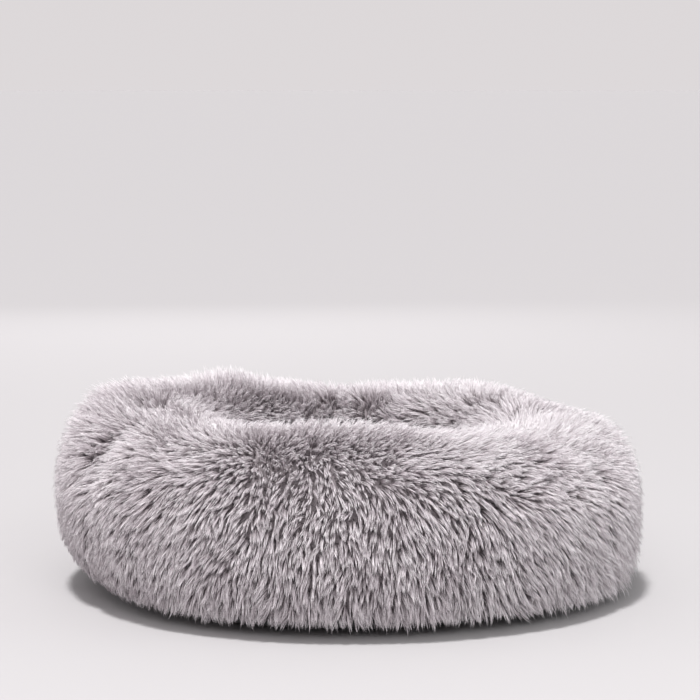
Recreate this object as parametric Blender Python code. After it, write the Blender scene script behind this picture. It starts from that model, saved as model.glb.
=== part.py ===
"""Round shaggy pet bed: a zipped faux-fur cover over a stuffed ring and a centre pad.

Metres, +Z up. The origin is on the floor under the middle of the bed, and -Y is the front.
A place on the ring is given by three things: its azimuth, in degrees counter-clockwise from +X;
its section angle, 0 outwards, 90 up, 180 inwards and -90 down; and its offset outwards from the
outer face of the ring's lining.
"""

import math

import bmesh
import bpy
from mathutils import Matrix, Vector

# --- Driving dimensions -------------------------------------------------------------------------

# The stuffed ring, measured on its lining.
RING_MID_R = 0.232
RING_MID_Z = 0.098
RING_BOTTOM_Z = 0.0018
RING_HALF_WIDTH = 0.089
RING_CREST_Z = 0.193
UPPER_POWER = 2.5
LOWER_POWER = 2.6
# Where the soft crest stands above or below its mean: azimuth, half width in degrees, rise.
CREST_LUMPS = (
    (172.0, 38.0, 0.014),
    (128.0, 20.0, 0.007),
    (48.0, 20.0, 0.008),
    (262.0, 30.0, 0.008),
    (335.0, 34.0, -0.011),
)

# The cover. Its rim is three fur panels joined by seams at these azimuths.
RIM_SEAMS = {"back": 90.0, "left": 210.0, "right": 330.0}
COVER_GAP = 0.0021
BACKING = 0.0016
PILE = 0.0225
PILE_AT_BASE = 0.012
PILE_AT_SEAT = 0.0
SEAT_SEAM = 205.0
SEAT_FLANGE_END = 216.0
FRONT_LOW_EDGE = -0.0040
REAR_LOW_EDGE = 0.0084
SEAM_GAP = 0.1
BASE_CLOTH = 0.0009
BASE_TOP_EDGE = -0.0050
SEAM_TAPE = 0.0006
SIDE_TAPE_OFFSET = 0.0008

# The centre pad.
PAD_R = 0.143
PAD_MID_Z = 0.0265
PAD_BOTTOM_Z = 0.0018
PAD_TOP_Z = 0.058
PAD_POWER = 2.6
SEAT_PILE_R = 0.121

LINING = 0.0009
FILLING_GAP = 0.0004

# The zip, on the rear half of the base seam.
ZIP_ANGLE = -42.0
WALL_BELOW = -0.0145
WALL_ABOVE = 0.0135
TAPE_OFFSET = 0.0012
TAPE_WIDTH = 0.012
TAPE_INNER_EDGE = 0.0009
COIL_BOTTOM = 0.0021
COIL_TOP = 0.0039
COIL_NEAR = 0.0007
COIL_FAR = 0.0027
CHAIN_START, CHAIN_END = 4.5, 175.5
SLIDER_AZIMUTH = 6.0
SLIDER_HALF_LENGTH = 0.0055
SLIDER_HALF_WIDTH = 0.0046
SLIDER_TOP = 0.0060
SLIDER_PLATE = 0.0013
ARCH_HALF_LENGTH = 0.0034
ARCH_HALF_WIDTH = 0.0009
ARCH_BAR = 0.0011
ARCH_OPENING = 0.0026
PULL_LENGTH = 0.024
PULL_HALF_WIDTH = 0.0039
PULL_THICKNESS = 0.0012
PULL_BAR = 0.0014
PULL_EYE_LENGTH = 0.0058
PULL_EYE_HALF_WIDTH = 0.0024

COVER_STEP = 6.0
INSERT_STEP = 9.0
RIM_OUTER_STEPS = 21
INNER_ANGLE_STEP = 18.0

# Colours are linear RGB, with roughness and metallic.
FUR = ((0.47, 0.43, 0.45), 0.9, 0.0)
CHARCOAL_CLOTH = ((0.035, 0.035, 0.038), 0.8, 0.0)
LINING_CLOTH = ((0.72, 0.72, 0.70), 0.85, 0.0)
FIBREFILL = ((0.86, 0.86, 0.85), 0.95, 0.0)
GREY_TAPE = ((0.16, 0.155, 0.16), 0.75, 0.0)
NYLON_COIL = ((0.10, 0.10, 0.105), 0.4, 0.0)
NICKEL = ((0.55, 0.54, 0.52), 0.3, 1.0)
THREAD = ((0.62, 0.60, 0.60), 0.7, 0.0)
LABEL_SATIN = ((0.82, 0.82, 0.80), 0.5, 0.0)


# --- Places on the bed --------------------------------------------------------------------------


def smooth(t):
    """0 to 1 with level ends."""
    t = min(1.0, max(0.0, t))
    return t * t * (3 - 2 * t)


def crest_height(azimuth):
    """Height of the ring lining's crest, with its soft lumps."""
    height = RING_CREST_Z
    for centre, half_width, rise in CREST_LUMPS:
        away = (azimuth - centre + 180) % 360 - 180
        height += rise * math.exp(-((away / half_width) ** 2))
    return height


def ring_point(azimuth, angle, offset=0.0, lower_power=LOWER_POWER):
    """(radius, height) of a place on the ring's rounded section."""
    across, up = math.cos(math.radians(angle)), math.sin(math.radians(angle))
    power = 2 / (UPPER_POWER if up > 0 else lower_power)
    half_height = crest_height(azimuth) - RING_MID_Z if up > 0 else RING_MID_Z - RING_BOTTOM_Z
    radius = RING_MID_R + math.copysign(abs(across) ** power, across) * (RING_HALF_WIDTH + offset)
    height = RING_MID_Z + math.copysign(abs(up) ** power, up) * (half_height + offset)
    return radius, height


def wall_point(along, offset):
    """(radius, height) on the straight low wall that holds the zip.

    along is metres up the wall from the zip chain's middle.
    """
    radius, height = ring_point(0.0, ZIP_ANGLE)
    above, below = ring_point(0.0, ZIP_ANGLE + 2), ring_point(0.0, ZIP_ANGLE - 2)
    rise = Vector((above[0] - below[0], above[1] - below[1])).normalized()
    return radius + rise.x * along + rise.y * offset, height + rise.y * along - rise.x * offset


def wall_angle(along):
    """Section angle of a place on the low wall."""
    return ZIP_ANGLE + math.degrees(along / RING_HALF_WIDTH)


def low_edge(azimuth):
    """Where the rim's fur ends, along the low wall: at the sewn seam in front, clear of the zip behind."""
    past_zip = max(-math.sin(math.radians(azimuth)), 0.0) / math.sin(math.radians(COVER_STEP))
    return REAR_LOW_EDGE + (FRONT_LOW_EDGE - REAR_LOW_EDGE) * min(past_zip, 1.0)


def pile_depth(angle, low_angle):
    """Depth of the pile on a rim panel: full over the top, thin where it leans over the seams."""
    from_base = smooth((angle - low_angle) / 34)
    from_seat = smooth((SEAT_SEAM - angle) / 30)
    return min(
        PILE_AT_BASE + (PILE - PILE_AT_BASE) * from_base,
        PILE_AT_SEAT + (PILE - PILE_AT_SEAT) * from_seat,
    )


def pad_height(radius, share=1.0):
    """Height of the centre pad's top at a radius; share shrinks the pad about its middle."""
    inside = 1 - min(1.0, radius / (PAD_R * share)) ** PAD_POWER
    return PAD_MID_Z + (PAD_TOP_Z - PAD_MID_Z) * share * inside ** (1 / PAD_POWER)


def steps(start, end, step):
    """Evenly spread values from start to end, both included, about a step apart."""
    count = max(1, round(abs(end - start) / step))
    return [start + (end - start) * i / count for i in range(count + 1)]


def angles_on_grid(start, end):
    """start, the whole multiples of the inner angle step between, and end."""
    first = math.floor(start / INNER_ANGLE_STEP) + 1
    between = [k * INNER_ANGLE_STEP for k in range(first, math.ceil(end / INNER_ANGLE_STEP))]
    return [start, *between, end]


def azimuths_on_grid(start, end):
    """start, the whole multiples of the cover's azimuth step between, and end."""
    first = math.floor(start / COVER_STEP) + 1
    between = [k * COVER_STEP for k in range(first, math.ceil(end / COVER_STEP))]
    return [start, *between, end]


# --- Making objects -----------------------------------------------------------------------------


def material(name, finish):
    """A Principled material; finish is (linear colour, roughness, metallic)."""
    made = bpy.data.materials.new(name)
    made.use_nodes = True
    shader = made.node_tree.nodes["Principled BSDF"]
    shader.inputs["Base Color"].default_value = (*finish[0], 1.0)
    shader.inputs["Roughness"].default_value = finish[1]
    shader.inputs["Metallic"].default_value = finish[2]
    return made


def add_object(name, mesh, finish, parent=None):
    """Links a mesh to the scene with its own material, shaded smooth except at sharp edges."""
    mesh.materials.append(material(name, finish))
    mesh.shade_smooth()
    mesh.set_sharp_from_angle(angle=math.radians(35))
    made = bpy.data.objects.new(name, mesh)
    bpy.context.scene.collection.objects.link(made)
    made.parent = parent
    return made


def mesh_from(bm, name):
    """Turns a finished bmesh into a mesh with its normals facing out."""
    bmesh.ops.recalc_face_normals(bm, faces=bm.faces)
    mesh = bpy.data.meshes.new(name)
    bm.to_mesh(mesh)
    bm.free()
    return mesh


def on_azimuth(azimuth, radius, height):
    turn = math.radians(azimuth)
    return Vector((radius * math.cos(turn), radius * math.sin(turn), height))


def swept_mesh(name, outline_at, azimuths, closed=False):
    """Sweeps a closed (radius, height) outline round the Z axis. outline_at gives it at each azimuth."""
    bm = bmesh.new()
    rings = [[bm.verts.new(on_azimuth(a, *p)) for p in outline_at(a)] for a in azimuths]
    pairs = list(zip(rings, rings[1:] + rings[:1] if closed else rings[1:]))
    for ring, following in pairs:
        for i in range(len(ring)):
            j = (i + 1) % len(ring)
            bm.faces.new((ring[i], ring[j], following[j], following[i]))
    if not closed:
        ends = [bm.faces.new(rings[0]), bm.faces.new(rings[-1])]
        for end in ends:
            end.normal_update()
        bmesh.ops.triangulate(bm, faces=ends, ngon_method="EAR_CLIP")
    return mesh_from(bm, name)


def turned_mesh(name, profile, step):
    """Turns a (radius, height) profile that starts and ends on the Z axis."""
    bm = bmesh.new()
    count = round(360 / step)
    rings = []
    for radius, height in profile:
        if radius == 0:
            rings.append([bm.verts.new((0, 0, height))] * count)
        else:
            rings.append([bm.verts.new(on_azimuth(i * step, radius, height)) for i in range(count)])
    for ring, following in zip(rings, rings[1:]):
        for i in range(count):
            j = (i + 1) % count
            corners = dict.fromkeys((ring[i], ring[j], following[j], following[i]))
            bm.faces.new(list(corners))
    return mesh_from(bm, name)


def strip_outline(start, end, low_offset, high_offset):
    """Outline of a flat strip on the low wall, between two heights along it and two offsets."""
    corners = ((start, low_offset), (end, low_offset), (end, high_offset), (start, high_offset))
    return [wall_point(along, offset) for along, offset in corners]


def wall_strip(name, span, azimuths, offsets, finish):
    """A strip swept along the low wall."""
    outline = strip_outline(*span, *offsets)
    mesh = swept_mesh(name, lambda azimuth: outline, azimuths)
    return add_object(name, mesh, finish)


def cut_away(target, cutter_mesh):
    """Cuts a hidden cutter out of the target."""
    cutter = bpy.data.objects.new(target.name + "_cutter", cutter_mesh)
    bpy.context.scene.collection.objects.link(cutter)
    cutter.hide_render = True
    cutter.display_type = "WIRE"
    cut = target.modifiers.new("slit", "BOOLEAN")
    cut.operation = "DIFFERENCE"
    cut.solver = "EXACT"
    cut.object = cutter


def thread_curve(name, points, radius):
    """A round thread through a list of points."""
    curve = bpy.data.curves.new(name, "CURVE")
    curve.dimensions = "3D"
    curve.bevel_depth = radius
    curve.bevel_resolution = 1
    curve.use_fill_caps = True
    spline = curve.splines.new("POLY")
    spline.points.add(len(points) - 1)
    for place, point in zip(spline.points, points):
        place.co = (*point, 1.0)
    curve.materials.append(material(name, THREAD))
    made = bpy.data.objects.new(name, curve)
    bpy.context.scene.collection.objects.link(made)
    return made


# --- The cover ----------------------------------------------------------------------------------


def rim_outline(azimuth):
    """Section of a rim panel: the pile's outer face, then the backing, turned in at the seat seam."""
    outer_power = LOWER_POWER + 0.1 + 0.4 * math.cos(math.radians(azimuth))
    low_angle = wall_angle(low_edge(azimuth))
    points = []
    for angle in steps(low_angle, SEAT_SEAM, (SEAT_SEAM - low_angle) / RIM_OUTER_STEPS):
        offset = COVER_GAP + BACKING + pile_depth(angle, low_angle)
        power = outer_power if angle < 0 else LOWER_POWER
        points.append(ring_point(azimuth, angle, offset, power))
    points.append(ring_point(azimuth, SEAT_FLANGE_END, COVER_GAP + BACKING))
    inner = [*angles_on_grid(-24.0, SEAT_SEAM), SEAT_FLANGE_END]
    points += [ring_point(azimuth, angle, COVER_GAP) for angle in reversed(inner)]
    points += [wall_point(along, COVER_GAP) for along in (WALL_ABOVE, low_edge(azimuth))]
    return points


def make_rim_panels():
    """The shaggy fur over the ring, in three panels."""
    spans = (("right", "right", "back"), ("left", "back", "left"), ("front", "left", "right"))
    for place, seam, next_seam in spans:
        start, end = RIM_SEAMS[seam], RIM_SEAMS[next_seam]
        if end < start:
            start -= 360
        name = f"rim_panel_{place}"
        mesh = swept_mesh(name, rim_outline, azimuths_on_grid(start + SEAM_GAP, end - SEAM_GAP))
        add_object(name, mesh, FUR)


def make_rim_seam_tapes():
    """Cotton tape behind each seam that joins two rim panels."""
    half_width = 2.4
    angles = angles_on_grid(-30.0, 195.0)
    for place, middle in RIM_SEAMS.items():
        name = f"rim_seam_tape_{place}"

        def outline(azimuth):
            inner, outer = SIDE_TAPE_OFFSET, SIDE_TAPE_OFFSET + SEAM_TAPE
            there = [ring_point(azimuth, angle, outer) for angle in angles]
            return there + [ring_point(azimuth, angle, inner) for angle in reversed(angles)]

        mesh = swept_mesh(name, outline, [middle - half_width, middle, middle + half_width])
        add_object(name, mesh, GREY_TAPE)


def make_base_panel():
    """The dark base cloth: flat on the floor, turned up round its edge to the base seam."""
    outer, inner = [], []
    for offset, side in ((COVER_GAP + BASE_CLOTH, outer), (COVER_GAP, inner)):
        side += [ring_point(0.0, angle, offset) for angle in (-76.0, -70.0, -64.0, -58.0)]
        side += [wall_point(along, offset) for along in (WALL_BELOW, BASE_TOP_EDGE)]
    flat_r = outer[0][0] - 0.012
    profile = [(0, 0), (flat_r, 0), *outer, *reversed(inner), (flat_r, BASE_CLOTH), (0, BASE_CLOTH)]
    add_object("base_panel", turned_mesh("base_panel", profile, COVER_STEP), CHARCOAL_CLOTH)


def make_seat_panel():
    """The fur disc over the centre pad, its edge turned down into the seat seam."""
    under = [(r, pad_height(r) + 0.0005) for r in (0, 0.05, 0.085, 0.108, 0.124)]
    flange_angles = (SEAT_SEAM, SEAT_FLANGE_END)
    flange_out = [ring_point(0.0, angle, 0.0042) for angle in flange_angles]
    flange_in = [ring_point(0.0, angle, 0.0055) for angle in flange_angles]
    over = []
    for share in (0, 0.35, 0.62, 0.82, 0.94, 1.0):
        radius = share * SEAT_PILE_R
        depth = BACKING + PILE * (1 - 0.55 * share**8)
        over.append((radius, pad_height(radius) + 0.0005 + depth))
    profile = over + flange_out + list(reversed(flange_in)) + list(reversed(under))
    add_object("seat_panel", turned_mesh("seat_panel", profile, COVER_STEP), FUR)


def make_seat_seam_binding():
    """Folded tape over the raw edges of the rim and seat panels, inside the cover."""
    legs = ((210.0, 0.0008), (218.0, 0.0008), (218.0, 0.0068), (210.0, 0.0068))
    fold = ((210.0, 0.0060), (217.0, 0.0060), (217.0, 0.0015), (210.0, 0.0015))
    outline = [ring_point(0.0, angle, offset) for angle, offset in legs + fold]
    azimuths = steps(0.0, 360.0, COVER_STEP)[:-1]
    mesh = swept_mesh("seat_seam_binding", lambda azimuth: outline, azimuths, closed=True)
    add_object("seat_seam_binding", mesh, GREY_TAPE)


def make_base_seam_tape():
    """Tape behind the sewn front half of the base seam."""
    azimuths = azimuths_on_grid(181.6, 358.4)
    offsets = (TAPE_OFFSET, TAPE_OFFSET + SEAM_TAPE)
    wall_strip("base_seam_tape", (-0.014, 0.006), azimuths, offsets, GREY_TAPE)


def make_care_label():
    """A blank satin label sewn inside, under the zip's lower tape at the back."""
    outline = [
        ring_point(0.0, angle, offset)
        for angle, offset in ((-66, 0.0009), (-52, 0.0009), (-52, 0.0005), (-66, 0.0005))
    ]
    mesh = swept_mesh("care_label", lambda azimuth: outline, steps(87.0, 93.0, 3.0))
    add_object("care_label", mesh, LABEL_SATIN)


# --- The zip ------------------------------------------------------------------------------------


def make_zip_chain():
    """Both tapes with their coils, closed along their whole length."""
    tape_azimuths = azimuths_on_grid(1.6, 178.4)
    chain_azimuths = azimuths_on_grid(CHAIN_START, CHAIN_END)
    tape_offsets = (TAPE_OFFSET, TAPE_OFFSET + SEAM_TAPE)
    coil_offsets = (COIL_BOTTOM, COIL_TOP)
    for side, sign in (("lower", -1), ("upper", 1)):
        tape_span = sorted((sign * TAPE_INNER_EDGE, sign * TAPE_WIDTH))
        coil_span = sorted((sign * COIL_NEAR, sign * COIL_FAR))
        wall_strip(f"zip_tape_{side}", tape_span, tape_azimuths, tape_offsets, GREY_TAPE)
        wall_strip(f"zip_coil_{side}", coil_span, chain_azimuths, coil_offsets, NYLON_COIL)


def make_zip_ends():
    """The stops at the chain's ends, and the cloth patches over the tapes' ends."""
    stop_offsets = (COIL_BOTTOM, COIL_TOP + 0.0004)
    for side, sign in (("lower", -1), ("upper", 1)):
        span = sorted((sign * COIL_NEAR, sign * COIL_FAR))
        wall_strip(f"zip_top_stop_{side}", span, [3.7, 4.3], stop_offsets, NICKEL)
    bottom_span = (-COIL_FAR, COIL_FAR)
    wall_strip("zip_bottom_stop", bottom_span, [175.7, 176.4], stop_offsets, NICKEL)
    patch_span = (-0.0046, 0.0062)
    patch_offsets = (COIL_BOTTOM, COIL_BOTTOM + SEAM_TAPE)
    for name, azimuths in (("right", [1.7, 3.4]), ("left", [176.7, 178.3])):
        wall_strip(f"zip_end_patch_{name}", patch_span, azimuths, patch_offsets, CHARCOAL_CLOTH)


def slider_outline():
    """Section of the slider: a top plate with side flanges, a bridge and an inner plate."""
    top_under = SLIDER_TOP - SLIDER_PLATE
    flange_in, flange_low, bridge = 0.0034, 0.0024, 0.0004
    inner_low, inner_top = 0.0002, 0.0008
    half = [
        (bridge, top_under),
        (flange_in, top_under),
        (flange_in, flange_low),
        (SLIDER_HALF_WIDTH, flange_low),
        (SLIDER_HALF_WIDTH, SLIDER_TOP),
    ]
    lower = [(SLIDER_HALF_WIDTH, inner_low), (SLIDER_HALF_WIDTH, inner_top), (bridge, inner_top)]
    right = lower + half
    left = [(-along, offset) for along, offset in reversed(right)]
    return [wall_point(along, offset) for along, offset in right + left]


def pull_frame():
    """Matrix of the pull's hinge: X along the chain, Y up the wall, Z straight out of it."""
    axis_offset = SLIDER_TOP + ARCH_OPENING / 2
    middle = on_azimuth(SLIDER_AZIMUTH, *wall_point(0.0, axis_offset))
    above = on_azimuth(SLIDER_AZIMUTH, *wall_point(0.002, axis_offset))
    below = on_azimuth(SLIDER_AZIMUTH, *wall_point(-0.002, axis_offset))
    up = (above - below).normalized()
    turn = math.radians(SLIDER_AZIMUTH)
    along = Vector((-math.sin(turn), math.cos(turn), 0.0))
    out = along.cross(up)
    frame = Matrix((along, up, out)).transposed().to_4x4()
    frame.translation = middle
    return frame


def extruded_mesh(name, outline, half_width):
    """Extrudes an (x, z) outline along Y, half_width to each side."""
    bm = bmesh.new()
    face = bm.faces.new([bm.verts.new((x, -half_width, z)) for x, z in outline])
    grown = bmesh.ops.extrude_face_region(bm, geom=[face])["geom"]
    moved = [v for v in grown if isinstance(v, bmesh.types.BMVert)]
    bmesh.ops.translate(bm, verts=moved, vec=(0, 2 * half_width, 0))
    return mesh_from(bm, name)


def make_slider(frame):
    """The slider body, with the arch that holds the pull joined on."""
    half_turn = math.degrees(SLIDER_HALF_LENGTH / wall_point(0.0, 0.003)[0])
    outline = slider_outline()
    azimuths = steps(SLIDER_AZIMUTH - half_turn, SLIDER_AZIMUTH + half_turn, half_turn)
    body = add_object("zip_slider", swept_mesh("zip_slider", lambda a: outline, azimuths), NICKEL)
    foot = -ARCH_OPENING / 2 - 0.0006
    inner_half, inner_top = ARCH_HALF_LENGTH - ARCH_BAR, ARCH_OPENING / 2
    outer_half, outer_top = ARCH_HALF_LENGTH, ARCH_OPENING / 2 + ARCH_BAR
    corner = 0.0008
    arch_outline = [
        (-outer_half, foot),
        (-outer_half, outer_top - corner),
        (-outer_half + corner, outer_top),
        (outer_half - corner, outer_top),
        (outer_half, outer_top - corner),
        (outer_half, foot),
        (inner_half, foot),
        (inner_half, inner_top),
        (-inner_half, inner_top),
        (-inner_half, foot),
    ]
    arch_mesh = extruded_mesh("arch", arch_outline, ARCH_HALF_WIDTH)
    arch_mesh.transform(frame)
    arch = bpy.data.objects.new("arch_shape", arch_mesh)
    bpy.context.scene.collection.objects.link(arch)
    arch.hide_render = True
    arch.display_type = "WIRE"
    join = body.modifiers.new("arch", "BOOLEAN")
    join.operation = "UNION"
    join.solver = "EXACT"
    join.object = arch
    return body


def make_pull(frame, slider):
    """The pull tab: a flat plate whose eye loops under the slider's arch."""
    back, bar_front = -PULL_BAR / 2, PULL_BAR / 2
    taper = 0.0008
    tip_x, tip_y = PULL_LENGTH, PULL_HALF_WIDTH - taper
    outline = [
        (back, -PULL_HALF_WIDTH),
        (PULL_EYE_LENGTH + 0.002, -PULL_HALF_WIDTH),
        (tip_x - 0.003, -tip_y),
        (tip_x, -tip_y + 0.002),
        (tip_x, tip_y - 0.002),
        (tip_x - 0.003, tip_y),
        (PULL_EYE_LENGTH + 0.002, PULL_HALF_WIDTH),
        (back, PULL_HALF_WIDTH),
    ]
    bm = bmesh.new()
    face = bm.faces.new([bm.verts.new((x, y, -PULL_THICKNESS / 2)) for x, y in outline])
    grown = bmesh.ops.extrude_face_region(bm, geom=[face])["geom"]
    moved = [v for v in grown if isinstance(v, bmesh.types.BMVert)]
    bmesh.ops.translate(bm, verts=moved, vec=(0, 0, PULL_THICKNESS))
    pull = add_object("zip_pull", mesh_from(bm, "zip_pull"), NICKEL, slider)
    pull.matrix_world = frame
    eye_length = PULL_EYE_LENGTH - bar_front
    eye = bmesh.new()
    bmesh.ops.create_cube(eye, size=1.0)
    size = (eye_length, 2 * PULL_EYE_HALF_WIDTH, 4 * PULL_THICKNESS)
    bmesh.ops.scale(eye, vec=size, verts=eye.verts)
    bmesh.ops.translate(eye, vec=(bar_front + eye_length / 2, 0, 0), verts=eye.verts)
    eye_mesh = mesh_from(eye, "eye")
    eye_mesh.transform(frame)
    cut_away(pull, eye_mesh)


# --- The inserts --------------------------------------------------------------------------------


def ring_outline(azimuth, offset):
    count = round(360 / INNER_ANGLE_STEP)
    return [ring_point(azimuth, i * INNER_ANGLE_STEP - 180, offset) for i in range(count)]


def full_ring_mesh(name, offset):
    azimuths = steps(0.0, 360.0, INSERT_STEP)[:-1]
    return swept_mesh(name, lambda azimuth: ring_outline(azimuth, offset), azimuths, closed=True)


def joined_mesh(name, outside, inside):
    """One mesh of an outer skin and an inner skin that faces the other way."""
    bm = bmesh.new()
    bm.from_mesh(inside)
    bmesh.ops.reverse_faces(bm, faces=bm.faces)
    bm.from_mesh(outside)
    mesh = bpy.data.meshes.new(name)
    bm.to_mesh(mesh)
    bm.free()
    return mesh


def make_ring_insert():
    """The ring's lining with its filling slit, the filling, and the thread that closes the slit."""
    lining_mesh = joined_mesh(
        "ring_lining", full_ring_mesh("outside", 0.0), full_ring_mesh("inside", -LINING)
    )
    lining = add_object("ring_lining", lining_mesh, LINING_CLOTH)
    slit_middle, slit_half_turn, slit_half_height = 270.0, 24.0, 0.0015
    wall_r = RING_MID_R - RING_HALF_WIDTH
    slit = [
        (wall_r - 0.004, RING_MID_Z - slit_half_height),
        (wall_r + 0.005, RING_MID_Z - slit_half_height),
        (wall_r + 0.005, RING_MID_Z + slit_half_height),
        (wall_r - 0.004, RING_MID_Z + slit_half_height),
    ]
    azimuths = steps(slit_middle - slit_half_turn, slit_middle + slit_half_turn, INSERT_STEP)
    cut_away(lining, swept_mesh("ring_slit", lambda azimuth: slit, azimuths))
    filling = full_ring_mesh("ring_filling", -LINING - FILLING_GAP)
    add_object("ring_filling", filling, FIBREFILL)
    stitches = []
    for i, azimuth in enumerate(steps(slit_middle - 22, slit_middle + 22, 2.2)):
        reach = slit_half_height + 0.003
        stitches.append(
            on_azimuth(azimuth, wall_r - 0.0013, RING_MID_Z + (reach if i % 2 else -reach))
        )
    thread_curve("ring_slit_thread", stitches, 0.00035)


def pad_profile(inset):
    """Half section of the pad, from its bottom centre round to its top centre."""
    share = 1 - inset / PAD_R
    bottom = PAD_BOTTOM_Z + inset
    half_low = PAD_MID_Z - bottom
    profile = [(0, bottom)]
    for angle in (-58, -36, -16):
        across, down = math.cos(math.radians(angle)), -math.sin(math.radians(angle))
        radius = PAD_R * share * across ** (2 / PAD_POWER)
        profile.append((radius, PAD_MID_Z - half_low * down ** (2 / PAD_POWER)))
    profile.append((PAD_R * share, PAD_MID_Z))
    top = PAD_TOP_Z - inset - PAD_MID_Z
    for angle in (16, 36, 58, 76):
        across, rise = math.cos(math.radians(angle)), math.sin(math.radians(angle))
        radius = PAD_R * share * across ** (2 / PAD_POWER)
        profile.append((radius, PAD_MID_Z + top * rise ** (2 / PAD_POWER)))
    return profile + [(0, PAD_TOP_Z - inset)]


def make_pad_insert():
    """The centre pad's lining with its filling slit, the filling, and the closing thread."""
    outside = turned_mesh("outside", pad_profile(0.0), INSERT_STEP)
    inside = turned_mesh("inside", pad_profile(LINING), INSERT_STEP)
    lining = add_object("pad_lining", joined_mesh("pad_lining", outside, inside), LINING_CLOTH)
    slit_middle, slit_half_turn, slit_half_height = 90.0, 24.0, 0.0015
    slit = [
        (PAD_R - 0.006, PAD_MID_Z - slit_half_height),
        (PAD_R + 0.004, PAD_MID_Z - slit_half_height),
        (PAD_R + 0.004, PAD_MID_Z + slit_half_height),
        (PAD_R - 0.006, PAD_MID_Z + slit_half_height),
    ]
    azimuths = steps(slit_middle - slit_half_turn, slit_middle + slit_half_turn, INSERT_STEP)
    cut_away(lining, swept_mesh("pad_slit", lambda azimuth: slit, azimuths))
    filling = turned_mesh("pad_filling", pad_profile(LINING + FILLING_GAP), INSERT_STEP)
    add_object("pad_filling", filling, FIBREFILL)
    stitches = []
    for i, azimuth in enumerate(steps(slit_middle - 22, slit_middle + 22, 2.2)):
        reach = slit_half_height + 0.002
        stitches.append(on_azimuth(azimuth, PAD_R + 0.0011, PAD_MID_Z + (reach if i % 2 else -reach)))
    thread_curve("pad_slit_thread", stitches, 0.00035)


def main():
    for old in list(bpy.data.objects):
        bpy.data.objects.remove(old)
    make_rim_panels()
    make_rim_seam_tapes()
    make_base_panel()
    make_seat_panel()
    make_seat_seam_binding()
    make_base_seam_tape()
    make_care_label()
    make_zip_chain()
    make_zip_ends()
    frame = pull_frame()
    make_pull(frame, make_slider(frame))
    make_ring_insert()
    make_pad_insert()


main()
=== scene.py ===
"""Looks of a round shaggy pet bed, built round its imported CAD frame.

Metres, +Z up, -Y is the front. A place on the ring is given by its azimuth (degrees counter-clockwise
from +X), its section angle (0 outwards, 90 up, 180 inwards) and its offset out from the ring's lining.
A place on the low wall that holds the zip is given by its azimuth, metres up the wall from the chain's
middle, and the same offset.
"""

import math

import bpy
import numpy as np
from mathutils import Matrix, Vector


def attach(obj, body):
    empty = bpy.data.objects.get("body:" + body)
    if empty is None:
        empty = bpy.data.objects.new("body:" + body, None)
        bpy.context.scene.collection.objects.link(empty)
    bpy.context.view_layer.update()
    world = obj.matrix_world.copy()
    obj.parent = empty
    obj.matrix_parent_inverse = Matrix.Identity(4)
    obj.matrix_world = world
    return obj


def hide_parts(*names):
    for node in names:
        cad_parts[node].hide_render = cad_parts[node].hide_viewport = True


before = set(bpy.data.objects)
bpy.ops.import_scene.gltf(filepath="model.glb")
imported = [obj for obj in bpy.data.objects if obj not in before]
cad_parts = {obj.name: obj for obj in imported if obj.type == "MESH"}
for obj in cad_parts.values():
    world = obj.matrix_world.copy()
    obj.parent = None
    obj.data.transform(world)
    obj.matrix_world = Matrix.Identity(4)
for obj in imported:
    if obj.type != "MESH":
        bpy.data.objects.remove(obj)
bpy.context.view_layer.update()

# --- The bed's section, as in the CAD ---

RING_MID_R = 0.232
RING_MID_Z = 0.098
RING_BOTTOM_Z = 0.0018
RING_HALF_WIDTH = 0.089
RING_CREST_Z = 0.193
UPPER_POWER = 2.5
LOWER_POWER = 2.6
# Where the soft crest stands above or below its mean: azimuth, half width in degrees, rise.
CREST_LUMPS = (
    (172.0, 38.0, 0.014),
    (128.0, 20.0, 0.007),
    (48.0, 20.0, 0.008),
    (262.0, 30.0, 0.008),
    (335.0, 34.0, -0.011),
)
COVER_GAP = 0.0021
BACKING = 0.0016
LINING = 0.0009
FILLING_GAP = 0.0004
TAPE_OFFSETS = (0.0012, 0.0018)
ZIP_ANGLE = -42.0
FRONT_LOW_EDGE = -0.0040
REAR_LOW_EDGE = 0.0084
SEAT_SEAM = 205.0
PAD_R = 0.143
PAD_MID_Z = 0.0265
PAD_BOTTOM_Z = 0.0018
PAD_TOP_Z = 0.058
PAD_POWER = 2.6
CHAIN_START, CHAIN_END = 4.5, 175.5
# The low wall's radius, rounded, by which metres along it become degrees.
WALL_R = 0.3
# The section angle where the cover begins to leave the ring for the low wall, and degrees until it is there.
WALL_START, WALL_BLEND = -24.0, 9.0

# The rim's three panels, with their first and last azimuths, and the azimuths of the seams between them.
PANELS = (("front", 210.0, 330.0), ("right", -30.0, 90.0), ("left", 90.0, 210.0))
SEAMS = {"back": 90.0, "left": 210.0, "right": 330.0}
SEAM_DEPTH = 0.0035
SEAM_HALF_WIDTH = 3.6
# Where the cover is drawn in: azimuth, section angle, their half widths in degrees, depth.
PUCKERS = (
    (207.0, 50.0, 5.0, 20.0, 0.011),
    (198.0, 86.0, 7.0, 12.0, 0.006),
    (331.0, 68.0, 6.0, 26.0, 0.003),
    (92.0, 70.0, 6.0, 24.0, 0.005),
)

# --- The fur's measures ---

TUFT_SPACING = 0.0048
SEAT_SPACING = 0.0040
TUFT_LENGTH = 0.0290
TUFT_SPREAD = 0.0019
STRANDS = 7
STRAND_WIDTH = 0.00056
CURL = 0.0008
PILE = 0.0235
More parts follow.
